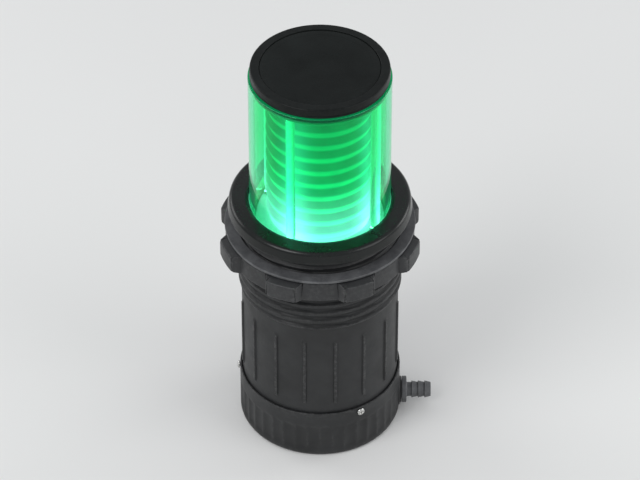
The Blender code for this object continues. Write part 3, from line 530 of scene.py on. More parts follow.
def clearAcrylic(name, bottom, top):
    # polished tube: a painted green cast and painted glow for the green light inside it, a painted green tint
    # on its reflections, faint drawn lines up its length, fine rubs from the wiper
    finish, shader, place = startFinish(name)
    rubs = noiseOver(place, 340.0, 6.0, 0.7, (1, 1, 0.06))
    feed(shader, {
        "Emission Color": paintedGlowRamp(place, bottom, top, paintedGlowLook.tube)[0],
        "Emission Strength": paintedGlowLook.tubeStrength,
        "Base Color": paintedGlowLook.tubeTint,
        "Roughness": rangeOf(rubs, 0.35, 0.75, 0.015, 0.075),
        "IOR": 1.30,
        "Specular Tint": paintedGlowLook.tubeGlint,
        "Transmission Weight": 1.0,
    })
    bumped(shader, [noiseOver(place, 150.0, 2.0, 0.5, (1, 1, 0.1))], 0.05, 0.0002)
    return finish


def boardMask(name, mask, track, spacing):
    # solder mask with copper tracks showing as a slightly lighter, raised pattern
    finish, shader, place = startFinish(name)
    cells = {"Vector": place, "Scale": spacing, "Randomness": 0.55}
    tracks = addNode("TexVoronoi", cells, distance="CHEBYCHEV")["Distance"]
    feed(shader, {
        "Base Color": rampOf(tracks, [(0.30, mask), (0.34, track), (0.42, track), (0.46, mask)]),
        "Roughness": rangeOf(noiseOver(place, 210.0), 0.3, 0.7, 0.30, 0.44),
    })
    bumped(shader, [tracks], 0.2, 0.00005)
    return finish


def diodeWindow(name):
    # phosphor window of a lit diode
    finish, shader, place = startFinish(name)
    grains = noiseOver(place, 1500.0, 4.0, 0.6)
    tone = rampOf(grains, [(0.35, (0.62, 1.0, 0.88)), (0.65, (0.86, 1.0, 0.96))])
    feed(shader, {
        "Emission Color": tone,
        "Emission Strength": paintedGlowLook.diodeStrength,
        "Base Color": tone,
        "Roughness": 0.3,
    })
    return finish


finishes = Named((name, mouldedPlastic(name, look)) for name, look in plasticLooks.items())
alongZ, roundZ = (1, 1, 0.05), (0.05, 0.05, 1)
rubber = mattRubber("mattRubber", (0.011, 0.011, 0.0115), (0.026, 0.026, 0.027))
leadJacket = mattRubber("leadJacket", (0.014, 0.014, 0.015), (0.032, 0.032, 0.034))
stainless = turnedMetal("stainlessSteel", (0.50, 0.50, 0.485), (0.68, 0.68, 0.66), 0.26, alongZ)
brass = turnedMetal("turnedBrass", (0.52, 0.36, 0.13), (0.72, 0.53, 0.24), 0.28, roundZ)
copper = turnedMetal("enamelledCopper", (0.42, 0.14, 0.05), (0.62, 0.24, 0.10), 0.30, roundZ)
aluminium = turnedMetal("drawnAluminium", (0.62, 0.63, 0.64), (0.80, 0.81, 0.82), 0.25, alongZ)
whiteMask = boardMask("whiteBoard", (0.78, 0.80, 0.77), (0.88, 0.90, 0.87), 260.0)
greenMask = boardMask("greenBoard", (0.012, 0.12, 0.045), (0.035, 0.26, 0.10), 230.0)
diodeGlow = diodeWindow("diodeWindow")
print("finishes made")


def finished(piece, finish, node=None):
    # a piece without a node of its own is a detail on the driver board
    piece.data.materials.append(finish)
    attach(piece, bodyOf[node or "driver_board"])
    if node:
        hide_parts(node)
    return piece


def turnedPiece(node, finish, corners, sides=meshQuality.sides, steps=meshQuality.arcSteps, name=None):
    return finished(turned(name or node, corners, sides, steps), finish, node)


def dress(finish, *nodes):
    # better finish on a CAD piece whose shape is right
    for node in nodes:
        data = frame["nodes"][node].data
        if not data.materials:
            data.materials.append(finish)
        for number in range(len(data.materials)):
            data.materials[number] = finish


def ringPiece(node, finish, edge, sides=96, name=None):
    # plain ring with rounded edges in the place of the CAD one
    turnedPiece(node, finish, ringCorners(reachOf(node), edge), sides, name=name)


def sealRing(name, node):
    # round-section seal in the place of the CAD one
    seal = reachOf(node)
    wire = (seal.top - seal.bottom) / 2
    middle = seal.bottom + wire
    centre = seal.outer - wire
    corners = [(centre + wire * cos(turn), middle + wire * sin(turn)) for turn in evenAngles(12)]
    turnedPiece(node, rubber, corners, name=name)


capSizes = Named(
    topRounding=0.0010, footRounding=0.0004, rim=0.0055, recess=0.0014, groove=0.0004, grooveHeight=0.0013,
    spigot=0.0332, spigotWall=0.0017, spigotDepth=0.0030, boss=0.0080, bossDepth=0.0085, insert=0.0043,
)
padSizes = Named(dish=0.0002, beadIn=0.86, beadOut=0.89, bead=0.00018)


def makeCap():
    cap = reachOf("top_cap")
    sizes = capSizes
    under = reachOf("lens_tube").top + gap
    outer, top = cap.outer, cap.top
    rim, floor = outer - sizes.rim, top - sizes.recess
    groove, deep = under + sizes.grooveHeight, sizes.groove
    spigot, foot = sizes.spigot, under - sizes.spigotDepth
    boss, bossFoot = sizes.boss, under - sizes.bossDepth
    corners = [
        (0, floor), (rim - gap, floor, 0.0002), (rim, top, 0.0003), (outer - 0.0002, top, sizes.topRounding),
        (outer, groove + 0.0005, 0.0001), (outer - deep, groove + 0.00025), (outer - 0.0001, groove, 0.0001),
        (outer - 0.0001, under, sizes.footRounding), (spigot, under), (spigot, foot, 0.0003),
        (spigot - sizes.spigotWall, foot, 0.0003), (spigot - sizes.spigotWall, under + 0.0004),
        (boss, under + 0.0004, 0.0006), (boss, bossFoot, 0.0003), (sizes.insert, bossFoot),
        (sizes.insert, under + 0.0015), (0, under + 0.0015),
    ]
    turnedPiece("top_cap", finishes.blackPlastic, corners)

    pad = reachOf("press_pad")
    edge, top, dish = pad.outer, pad.top, padSizes.dish
    beadIn, beadOut = edge * padSizes.beadIn, edge * padSizes.beadOut
    corners = [
        (0, top - dish), (edge * 0.30, top - dish * 0.9), (edge * 0.62, top - dish * 0.5), (beadIn, top),
        ((beadIn + beadOut) / 2, top - padSizes.bead), (beadOut, top), (edge - 0.0001, top - dish, 0.0002),
        (edge, pad.bottom), (0, pad.bottom),
    ]
    turnedPiece("press_pad", finishes.padPlastic, corners)

    collar, seal = reachOf("cap_collar"), reachOf("cap_o_ring")
    middle = (seal.bottom + seal.top) / 2
    outer, inner = collar.outer, collar.inner
    low, high, deep = middle - 0.001, middle + 0.001, outer - 0.0017
    corners = [
        (inner, collar.top, 0.0003), (outer, collar.top, 0.0003), (outer, high, 0.0001), (deep, high, 0.0002),
        (deep, low, 0.0002), (outer, low, 0.0001),
        (outer, collar.bottom, 0.0005), (inner, collar.bottom, 0.0005),
    ]
    # painted glow on the collar under the cap
    paintedGlow = paintedGlowWhite("litCollar", 0.0, reachOf("lens_tube").top, paintedGlowLook.collarStrength)
    turnedPiece("cap_collar", paintedGlow, corners)
    sealRing("capSeal", "cap_o_ring")


tubeSizes = Named(edge=0.0006, sides=192)
guideSizes = Named(tipRounding=0.0010, taper=0.0060, foot=0.80)
coreSizes = Named(rings=10, depth=0.0018, end=0.003, valleyRounding=0.0016, crestRounding=0.0022)
diodeSizes = Named(side=0.005, wall=0.0006, window=0.0003, corner=0.0004)


def makeTube():
    # the tube's painted glow runs from its foot to its top
    glass = clearAcrylic("clearAcrylic", 0.0, reachOf("lens_tube").top)
    ringPiece("lens_tube", glass, tubeSizes.edge, tubeSizes.sides)


def makeGuides():
    for number in range(1, guideCount + 1):
        node = f"light_guide_{number}"
        low, high, centre = boxOf(node)
        radius, length = (high.x - low.x) / 2, high.z - low.z
        corners = [
            (0, length), (radius - 0.0002, length, guideSizes.tipRounding),
            (radius, guideSizes.taper, 0.0020), (radius * guideSizes.foot, 0.0, 0.0003), (0, 0.0),
        ]
        piece = turned(f"lightGuide{number}", corners, 40)
        piece.location = (centre.x, centre.y, low.z)
        piece.rotation_euler[2] = atan2(centre.y, centre.x)  # its own X points outwards
        # each guide gets its own painted glow
        finished(piece, paintedGlowAcrylic(f"paintedGlowGuide{number}", length, radius), node)


def makeCore():
    core = reachOf("reflector_core")
    sizes = coreSizes
    outer, bore = core.outer, core.inner
    valley = outer - sizes.depth
    pitch = (core.top - core.bottom - 2 * sizes.end) / sizes.rings
    corners = [(bore, core.top, 0.0004), (valley, core.top, 0.0004)]
    height = core.top - sizes.end
    for _ in range(sizes.rings):
        corners.append((valley, height, sizes.valleyRounding))
        corners.append((outer, height - pitch / 2, sizes.crestRounding))
        height -= pitch
    corners += [
        (valley, height, sizes.valleyRounding), (valley, core.bottom, 0.0004), (bore, core.bottom, 0.0004),
    ]
    # painted glow on the core, from its bottom to its top
    paintedGlow = paintedGlowWhite("litCore", core.bottom, core.top, paintedGlowLook.coreStrength)
    turnedPiece("reflector_core", paintedGlow, corners, 120)


def makeDiodes():
    ringPiece("led_board", whiteMask, 0.0001, meshQuality.sides, "diodeBoard")
    sizes = diodeSizes
    for number in range(1, guideCount + 1):
        node = f"led_{number}"
        low, high, centre = boxOf(node)
        height = high.z - low.z
        shape = bmesh.new()
        bmesh.ops.create_cube(shape, size=1.0)
        bmesh.ops.scale(shape, vec=Vector((sizes.side, sizes.side, height)), verts=shape.verts)
        top = [face for face in shape.faces if face.normal.z > 0.5]
        bmesh.ops.inset_individual(shape, faces=top, thickness=sizes.wall, depth=0.0)
        bmesh.ops.translate(shape, vec=(0, 0, -sizes.window), verts=list({v for f in top for v in f.verts}))
        for face in top:
            face.material_index = 1
        upright = [e for e in shape.edges if abs(e.verts[0].co.z - e.verts[1].co.z) > height * 0.8]
        bmesh.ops.bevel(shape, geom=upright, offset=sizes.corner, segments=3, affect="EDGES", profile=0.5)
        piece = shaded(newPiece(f"diode{number}", shape), 30)
        piece.location = centre
        piece.rotation_euler[2] = atan2(centre.y, centre.x)
        finished(piece, finishes.acetal, node)
        piece.data.materials.append(diodeGlow)


trimSizes = Named(round=0.0029, slope=0.0006, lip=0.0016, step=0.0005, shell=0.0017, sides=176, steps=6)
gasketSizes = Named(groove=0.0004, grooveHeight=0.0010, bushClearance=0.0061)


def makeTrim():
    trim, flange, bush = reachOf("trim_ring"), reachOf("housing_sleeve"), reachOf("guide_bush")
    outer, inner, top, bottom = trim.outer, trim.inner, trim.top, trim.bottom
    step, over, under = trimSizes.step, flange.top + gap, trim.top - trimSizes.shell
    skirt, bore = flange.outer + gap, bush.outer + gap
    corners = [
        (inner, top - 0.0004, 0.0004), (inner + trimSizes.lip, top, 0.0010),
        (outer - 0.0012, top - trimSizes.slope, trimSizes.round), (outer, bottom + 0.0014, 0.0006),
        (outer - step, bottom + 0.0010, 0.0001), (outer - step, bottom, 0.0003), (skirt, bottom, 0.0002),
        (skirt, over, 0.0003), (bore, over), (bore, under), (inner, under, 0.0002),
    ]
    turnedPiece("trim_ring", finishes.trimPlastic, corners, trimSizes.sides, trimSizes.steps)

    wiper = reachOf("wiper_seal")
    lip, back, high = wiper.inner, wiper.outer, wiper.top - 0.0001
    corners = [
        (lip, wiper.top, 0.00008), (lip + 0.0012, high), (back, high), (back, wiper.bottom),
        (lip + 0.0008, wiper.bottom),
    ]
    turnedPiece("wiper_seal", rubber, corners)

    gasket = reachOf("deck_gasket")
    barrel = gasket.inner - gasketSizes.bushClearance
    bore = bush.inner
    corners = [
        (bore, bush.top, 0.0003), (bush.outer, bush.top, 0.0002), (bush.outer, over, 0.0002),
        (barrel, over), (barrel, bush.bottom, 0.0004), (bore, bush.bottom, 0.0004),
    ]
    turnedPiece("guide_bush", finishes.acetal, corners)

    corners = ringCorners(gasket, 0.0002)
    middle = gasket.bottom + gasketSizes.grooveHeight
    corners[2:2] = [
        (gasket.outer, middle + 0.0002, 0.0002), (gasket.outer - gasketSizes.groove, middle, 0.0001),
        (gasket.outer, middle - 0.0002, 0.0002),
    ]
    turnedPiece("deck_gasket", rubber, corners)


threadSizes = Named(
    pitch=0.006, bottom=-0.0565, top=-0.0065, crest=0.30, flank=0.16,
    root=0.0474, outside=0.0492, row=0.0004, fade=0.0022, rowsEnd=-0.0600,
)
ribSizes = Named(
    count=16, height=0.0010, width=0.0024, flank=0.0004, top=-0.066, bottom=-0.117, run=0.002, between=13,
)
sleeveSizes = Named(bore=0.0445, flangeUnder=0.0023, edge=0.0003, row=0.0056)


def threadHeight(angle, height):
    # 0 at the root and 1 at the crest of a right-handed thread
    sizes = threadSizes
    if not sizes.bottom < height < sizes.top:
        return 0.0
    turns = (height - sizes.bottom) / sizes.pitch - angle / fullTurn
    across = abs((turns % 1.0) - 0.5) * 2  # 0 in the middle of the crest
    flank = sizes.flank * 2
    ends = min(height - sizes.bottom, sizes.top - height) / sizes.fade
    return held((sizes.crest + flank - across) / flank) * held(ends)


def ribHeight(offset, height):
    # offset is the distance from the middle of the nearest rib
    sizes = ribSizes
    ends = min(sizes.top - height, height - sizes.bottom) / sizes.run
    return held((sizes.width / 2 - abs(offset)) / sizes.flank) * held(ends)


def makeSleeve():
    sleeve = reachOf("housing_sleeve")
    outer, top, bottom, edge = sleeve.outer, sleeve.top, sleeve.bottom, sleeveSizes.edge
    bore, under, root = sleeveSizes.bore, sleeveSizes.flangeUnder, threadSizes.root
    rows = []
    height = under - 0.0012
    while height > threadSizes.rowsEnd:
        rows.append(height)
        height -= threadSizes.row
    rows += [-0.0625, -0.0645, -0.0660, -0.0670, -0.0680, -0.0700]
    rows += [-0.0700 - sleeveSizes.row * step for step in range(1, 9)]
    rows += [-0.1160, -0.1170, -0.1180, -0.1230]

    # upright columns at the edges of each rib, and evenly between the ribs
    half, slope = ribSizes.width / 2, ribSizes.flank
    spacing = fullTurn * root / ribSizes.count
    offsets = [-half, slope - half, half - slope, half]
    between = ribSizes.between
    offsets += [half + (spacing - 2 * half) * step / between for step in range(1, between)]
    angles, sections = [], []
    for rib in range(ribSizes.count):
        for offset in offsets:
            angle = ((rib + 0.5) * spacing + offset) / root
            section = [
                (bore + edge, top), (outer - edge, top), (outer, top - edge), (outer, under + edge),
                (outer - edge, under), (root + 0.0012, under), (root + 0.0004, under - edge),
            ]
            for height in rows:
                thread = (threadSizes.outside - root) * threadHeight(angle, height)
                section.append((root + thread + ribSizes.height * ribHeight(offset, height), height))
            section += [
                (root, bottom + 0.0005), (root - 0.0005, bottom), (bore + edge, bottom),
                (bore, bottom + edge), (bore, top - edge),
            ]
            angles.append(angle)
            sections.append(section)
    piece = lofted("threadedSleeve", sections, angles=angles)
    finished(piece, finishes.sleevePlastic, "housing_sleeve")


nutSizes = Named(body=0.0565, lugs=8, lugShare=0.36, slope=0.10, rounding=0.0011, drop=0.0012, columns=320)


def makeNut():
    nut = reachOf("mounting_nut")
    sizes = nutSizes
    body, lug = sizes.body, nut.outer - 0.0006
    spacing = fullTurn / sizes.lugs
    bore, top, bottom = nut.inner, nut.top, nut.bottom
    sections = []
    for angle in evenAngles(sizes.columns):
        off = abs((angle % spacing) - spacing / 2) / spacing  # 0 in the middle of a lug
        share = held((sizes.lugShare / 2 + sizes.slope - off) / sizes.slope)
        share = share * share * (3 - 2 * share)
        outer, drop = body + (lug - body) * share, sizes.drop * share
        sections.append(filleted([
            (bore, top, 0.0006), (bore + 0.0022, top, 0.0002), (body - 0.0018, top - 0.0003, 0.0003),
            (outer, top - 0.0003 - drop, sizes.rounding), (outer, bottom + drop, sizes.rounding),
            (body - 0.0018, bottom, 0.0003), (bore, bottom, 0.0006),
        ]))
    finished(lofted("mounting_nut", sections), finishes.nutPlastic, "mounting_nut")
    ringPiece("slip_washer", finishes.nylon, 0.0004, meshQuality.sides)


cupSizes = Named(
    outer=0.0492, floor=-0.154, well=0.0452, shelf=-0.1363, step=0.0335, stepTop=-0.147,
    channel=0.039, foot=0.0440, columns=320,
    flutes=40, fluteDepth=0.0009, fluteTop=-0.1335, fluteBottom=-0.1545, fluteRun=0.0025,
    bossRadius=0.0098, bossFace=0.04942, bossRoot=0.0465, outletArc=0.26,
)
outletHeight = -0.148
panScrewSizes = Named(slot=0.26, slotLength=1.15)
cupScrewSizes = Named(angles=(60, 180, 300), height=-0.127, seat=0.0495)


def fluteDepth(angle, height):
    # grip flutes round the cup, left out round the two outlets
    sizes = cupSizes
    for outlet in (0.0, pi / 2):
        if abs((angle - outlet + pi) % fullTurn - pi) < sizes.outletArc:
            return 0.0
    spacing = fullTurn / sizes.flutes
    across = abs((angle % spacing) - spacing / 2) / (spacing / 2)
    ends = held(min(sizes.fluteTop - height, height - sizes.fluteBottom) / sizes.fluteRun)
    return sizes.fluteDepth * (1 - across * across) * ends * ends * (3 - 2 * ends)


def makeCup():
    cup = reachOf("bottom_cup")
    sizes = cupSizes
    top, bottom, outer, floor = cup.top, cup.bottom, sizes.outer, sizes.floor
    inner, well, base = threadSizes.root + 0.0004, sizes.well, bottom + 0.0006
    heights = [-0.1320 - 0.0012 * step for step in range(20)]
    sections = []
    for angle in evenAngles(sizes.columns):
        section = [
            (0, floor), (sizes.step, floor), (sizes.step, sizes.stepTop), (sizes.channel, sizes.stepTop),
            (sizes.channel, floor), (well, floor), (well, sizes.shelf), (inner, sizes.shelf),
            (inner, top - 0.0004), (inner + 0.0003, top), (outer - 0.0004, top),
            (outer - 0.0001, top - 0.0002), (outer, top - 0.0006), (outer, -0.1308),
        ]
        section += [(outer - fluteDepth(angle, height), height) for height in heights]
        section += [
            (outer, -0.1560), (outer - 0.0006, -0.1574), (outer - 0.0020, bottom), (sizes.foot, bottom),
            (sizes.foot - 0.0006, base), (0.0300, base), (0, base),
        ]
        sections.append(section)
    piece = lofted("bottomCup", sections)
    radius, face, root = sizes.bossRadius, sizes.bossFace, sizes.bossRoot
    corners = [(0, face), (radius, face, 0.0007), (radius, root), (0, root)]
    bosses = [laid(turned("boss", corners, 64), degrees, 0, outletHeight) for degrees in (0, 90)]
    combined(piece, bosses, "UNION")
    finished(piece, finishes.sleevePlastic, "bottom_cup")
    sealRing("cupSeal", "cup_o_ring")
    for number, degrees in enumerate(cupScrewSizes.angles, 1):
        piece = panScrew(f"cupScrew{number}", head=0.00247, height=0.0013, shank=0.0013, length=0.0045)
        laid(piece, degrees, cupScrewSizes.seat, cupScrewSizes.height)
        finished(piece, stainless, f"cup_screw_{number}")


def panScrew(name, head, height, shank, length):
    # pan head with a cross recess, along +Z with its seat at z = 0
    corners = [
        (0, height), (head * 0.55, height * 0.96), (head * 0.86, height * 0.72), (head, height * 0.32),
        (head * 0.985, 0, 0.00008), (shank, 0), (shank, shank - length), (0, -length),
    ]
    long, wide = head * panScrewSizes.slotLength, head * panScrewSizes.slot
    slots = [bar("slot", (*across, height), (0, 0, height * 0.95)) for across in ((long, wide), (wide, long))]
    return combined(turned(name, corners, meshQuality.smallSides), slots, "DIFFERENCE")


def hexRadius(angle, corner):
    # distance to the edge of a hexagon with this corner radius
    sector = pi / 3
    return corner * cos(sector / 2) / cos((angle % sector) - sector / 2)


glandSizes = Named(
    bore=0.0026, thread=0.0058, inside=0.0052, bodyCorner=0.0078, nutCorner=0.0074,
    length=0.0115, flange=0.0042, nutLength=0.0128, nutFlats=0.0058, nutBore=0.0036, nutInside=0.0056,
    washerBore=0.0061,
)
drainSizes = Named(
    bore=0.0032, neck=0.0044, barb=0.0053, length=0.018, barbs=3, step=0.004,
    collar=0.0082, collarHeight=0.003, stem=0.0053, washerBore=0.0056,
)
stemDepth = 0.0052  # how far gland and drain reach through the cup
washerThickness = 0.0008


def makeGland():
    sizes = glandSizes
    bore, inside, length, flange = sizes.bore, sizes.inside, sizes.length, sizes.flange
    corner = sizes.bodyCorner
    sections = []
    for angle in evenAngles(96):
        flats = min(hexRadius(angle, corner), corner * 0.98)
        sections.append(filleted([
            (bore, length, 0.0003), (inside, length, 0.0004), (inside, flange), (flats, flange, 0.0005),
            (flats, 0.0, 0.0005), (sizes.thread, 0.0), (sizes.thread, -stemDepth, 0.0004),
            (bore, -stemDepth, 0.0003),
        ]))
    piece = laid(lofted("gland_body", sections), 90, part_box("gland_body")[1].y - length, outletHeight)
    finished(piece, finishes.nylon, "gland_body")

    corner, length, bore = sizes.nutCorner, sizes.nutLength, sizes.nutBore
    sections = []
    for angle in evenAngles(144):
        flats = min(hexRadius(angle, corner), corner * 0.98)
        ribbed = 0.0060 + 0.00016 * (cos(angle * 18) > 0)
        sections.append(filleted([
            (bore, length, 0.0003), (0.0050, length, 0.0008), (ribbed, 0.0098, 0.0010),
            (ribbed, 0.0066, 0.0002), (flats, sizes.nutFlats, 0.0005), (flats, 0.0, 0.0005),
            (sizes.nutInside, 0.0), (sizes.nutInside, 0.0095), (bore, 0.0095),
        ]))
    piece = laid(lofted("gland_nut", sections), 90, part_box("gland_nut")[0].y, outletHeight)
    finished(piece, finishes.nylon, "gland_nut")
    flatWasher("gland_bush", sizes.bore, inside, 0.0016, 90)
    flatWasher("gland_washer", sizes.washerBore, sizes.bodyCorner, washerThickness, 90)


def flatWasher(node, inner, outer, thick, degrees):
    # across the gland's or the drain's way out
    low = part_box(node)[0]
    base = low.y if degrees else low.x
    corners = ringCorners(Named(inner=inner, outer=outer, bottom=0.0, top=thick), 0.0003)
    piece = laid(turned(node, corners, 72), degrees, base, outletHeight)
    finished(piece, rubber, node)


def makeDrain():
    sizes = drainSizes
    bore, neck, length, collar, stem = (sizes[name] for name in ("bore", "neck", "length", "collar", "stem"))
    corners = [(bore, length, 0.0004), (neck, length, 0.0003)]
    for number in range(1, sizes.barbs + 1):
        foot = length - sizes.step * number
        corners += [(sizes.barb, foot + 0.0002, 0.00015), (neck, foot, 0.0003)]
    corners += [
        (neck, sizes.collarHeight, 0.0008), (collar, sizes.collarHeight, 0.0006), (collar, 0, 0.0004),
        (stem, 0), (stem, -stemDepth, 0.0004), (bore, -stemDepth, 0.0003),
    ]
    piece = laid(turned("drainBarb", corners, 72), 0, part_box("drain_barb")[1].x - length, outletHeight)
    finished(piece, finishes.nylon, "drain_barb")
    flatWasher("drain_washer", sizes.washerBore, collar, washerThickness, 0)


springSizes = Named(circle=0.036, wire=0.0011, turns=6, clearance=0.0004, keep=0.217, seat=-0.147, perTurn=36)
leadSizes = Named(
    circle=0.0105, wire=0.0018, turns=6, keep=0.20, perTurn=28, start=140, low=-0.1506, high=-0.034,
)


def onCircle(circle, angle, height):
    return Vector((circle * cos(angle), circle * sin(angle), height))


def makeSpring():
    # six open turns between two flat end turns, each of which lies against the next turn
    low, high, _ = boxOf("lift_spring")
    wire, turns, perTurn = springSizes.wire, springSizes.turns, springSizes.perTurn
    beside = 2 * wire + springSizes.clearance
    climb = high.z - low.z - 2 * wire - 2 * beside
    points = []
    for step in range((turns + 2) * perTurn + 1):
        done = step / perTurn
        flat = beside * (min(done, 1.0) + max(done - turns - 1, 0.0))
        height = low.z + wire + climb * held((done - 1) / turns) + flat
        points.append(onCircle(springSizes.circle, pi / 2 + fullTurn * done, height))
    piece = finished(wireThrough("liftSpring", points, wire), stainless, "lift_spring")
    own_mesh(piece)


def makeLead():
    # in through the gland, across the floor, up in a coil and into the driver board's connector
    circle, turns, perTurn = leadSizes.circle, leadSizes.turns, leadSizes.perTurn
    low, high = leadSizes.low, leadSizes.high
    route = [
        (0, 0.0600, outletHeight), (0, 0.0520, outletHeight), (0, 0.0450, outletHeight),
        (0, 0.0410, outletHeight - 0.0009), (0, 0.0375, low), (0, 0.0300, low),
        (-0.0012, 0.0200, low), (-0.0048, 0.0135, low),
    ]
    points = [Vector(point) for point in route]
    for step in range(turns * perTurn + 1):
        angle = radians(leadSizes.start) + fullTurn * step / perTurn
        points.append(onCircle(circle, angle, low + (high - low) * step / (turns * perTurn)))
    goal = Vector((0, circle, -0.028))
    bend = points[-1].lerp(goal, 0.5) + Vector((-0.002, -0.001, 0.0005))
    points += [bend, goal, Vector((0, circle, -0.0133))]
    piece = wireThrough("coiledLead", points, leadSizes.wire)
    finished(piece, leadJacket, "coiled_lead")
    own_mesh(piece)


carrierSizes = Named(
    skirt=0.0410, floor=-0.024, floorTop=-0.021, boss=0.0332, bossBore=0.0320, bossDepth=0.003,
    well=0.0315, step=0.0355, collar=-0.0158, keySlot=0.006, keyAngles=(30, 150, 270), leadHole=0.0024,
    boltHole=0.0028,
)
boltSizes = Named(
    shank=0.0025, root=0.0021, pitch=0.0008, threaded=0.020, across=0.0046, head=0.0035, edge=0.0006,
)


def makeCarrier():
    sizes = carrierSizes
    carrier, tube = reachOf("carrier"), reachOf("lens_tube")
    outer, bottom, floor, floorTop = carrier.outer, carrier.bottom, sizes.floor, sizes.floorTop
    shelf, step = reachOf("led_board").bottom - gap, reachOf("driver_board").bottom - gap
    inside, outside, foot = tube.inner - gap, tube.outer + gap, floor - sizes.bossDepth
    corners = [
        (outer, sizes.collar, 0.0004), (outer, bottom, 0.0006), (sizes.skirt, bottom, 0.0006),
        (sizes.skirt, floor, 0.0008), (sizes.boss, floor, 0.0003), (sizes.boss, foot, 0.0003),
        (sizes.bossBore, foot, 0.0003), (sizes.bossBore, floor, 0.0003), (sizes.boltHole, floor),
        (sizes.boltHole, floorTop), (sizes.well, floorTop, 0.0008), (sizes.well, step, 0.0003),
        (sizes.step, step, 0.0003), (sizes.step, shelf, 0.0003), (inside, shelf, 0.0004), (inside, floorTop),
        (outside, floorTop), (outside, sizes.collar, 0.0003),
    ]
    cutters = [moved(drilling("hole", sizes.leadHole, 0.008), 0, leadSizes.circle, floor - 0.003)]
    for degrees in sizes.keyAngles:
        slot = bar("slot", (0.004, sizes.keySlot, 0.031), (0.0446, 0, (sizes.collar + bottom) / 2))
        cutters.append(moved(slot, 0, 0, 0, degrees))
    piece = combined(turned("carrier", corners), cutters, "DIFFERENCE")
    finished(piece, finishes.sleevePlastic, "carrier")
    ringPiece("tube_seal", rubber, 0.0003)
    ringPiece("stop_buffer", rubber, 0.0002)
    ringPiece("tie_washer", stainless, 0.0002)
    ringPiece("cap_insert", brass, 0.0002)


def makeTieBolt():
    # hexagon head with a rounded underside, plain shank and a threaded end
    bolt = reachOf("tie_bolt")
    sizes = boltSizes
    top, bottom, shank, root = bolt.top, bolt.bottom, sizes.shank, sizes.root
    seat, plain = bottom + sizes.head, top - sizes.threaded
    sections = []
    for angle in evenAngles(48):
        flats = hexRadius(angle, sizes.across)
        section = [(0, top), (root, top)]
        height = top - 0.0003
        while height > plain:
            turns = height / sizes.pitch - angle / fullTurn
            section.append((root + (shank - root) * (1 - abs((turns % 1.0) - 0.5) * 2), height))
            height -= sizes.pitch / 4
        section += [
            (shank, plain - sizes.edge), (shank, seat), (flats, seat), (flats, bottom + sizes.edge),
            (min(flats, sizes.across * 0.87), bottom), (0, bottom),
        ]
        sections.append(section)
    finished(lofted("tieBolt", sections), stainless, "tie_bolt")
    for number in (1, 2):
        low, _, middle = boxOf(f"cam_screw_{number}")
        piece = panScrew(f"camScrew{number}", head=0.00205, height=0.0013, shank=0.0011, length=0.0028)
        over = Matrix.Rotation(pi, 4, "X")
        piece.data.transform(Matrix.Translation((middle.x, middle.y, low.z + 0.0013)) @ over)
        finished(piece, stainless, f"cam_screw_{number}")


driverSizes = Named(
    notch=0.0024, resistor=(0.0020, 0.00125, 0.0006),
    legs=8, leg=(0.0009, 0.00035, 0.0002), legPitch=0.00075, legReach=0.00355, chip=0.0064, dimple=0.0004,
    pins=3, pin=0.0006, pinLength=0.0034, pinPitch=0.0025, shell=0.0014,
    flange=0.0008, hub=0.0022, winding=0.0038, turns=9,
    canTop=0.00025, vent=(0.0052, 0.00025, 0.0004),
    # across, along and turn of each small resistor on the board
    resistors=(
        (0.020, 0.012, 0), (0.024, 0.004, 90), (-0.004, -0.022, 0), (0.006, -0.024, 90), (-0.026, -0.004, 90),
        (0.012, 0.022, 0), (-0.010, 0.024, 0), (0.002, -0.016, 0),
    ),
)


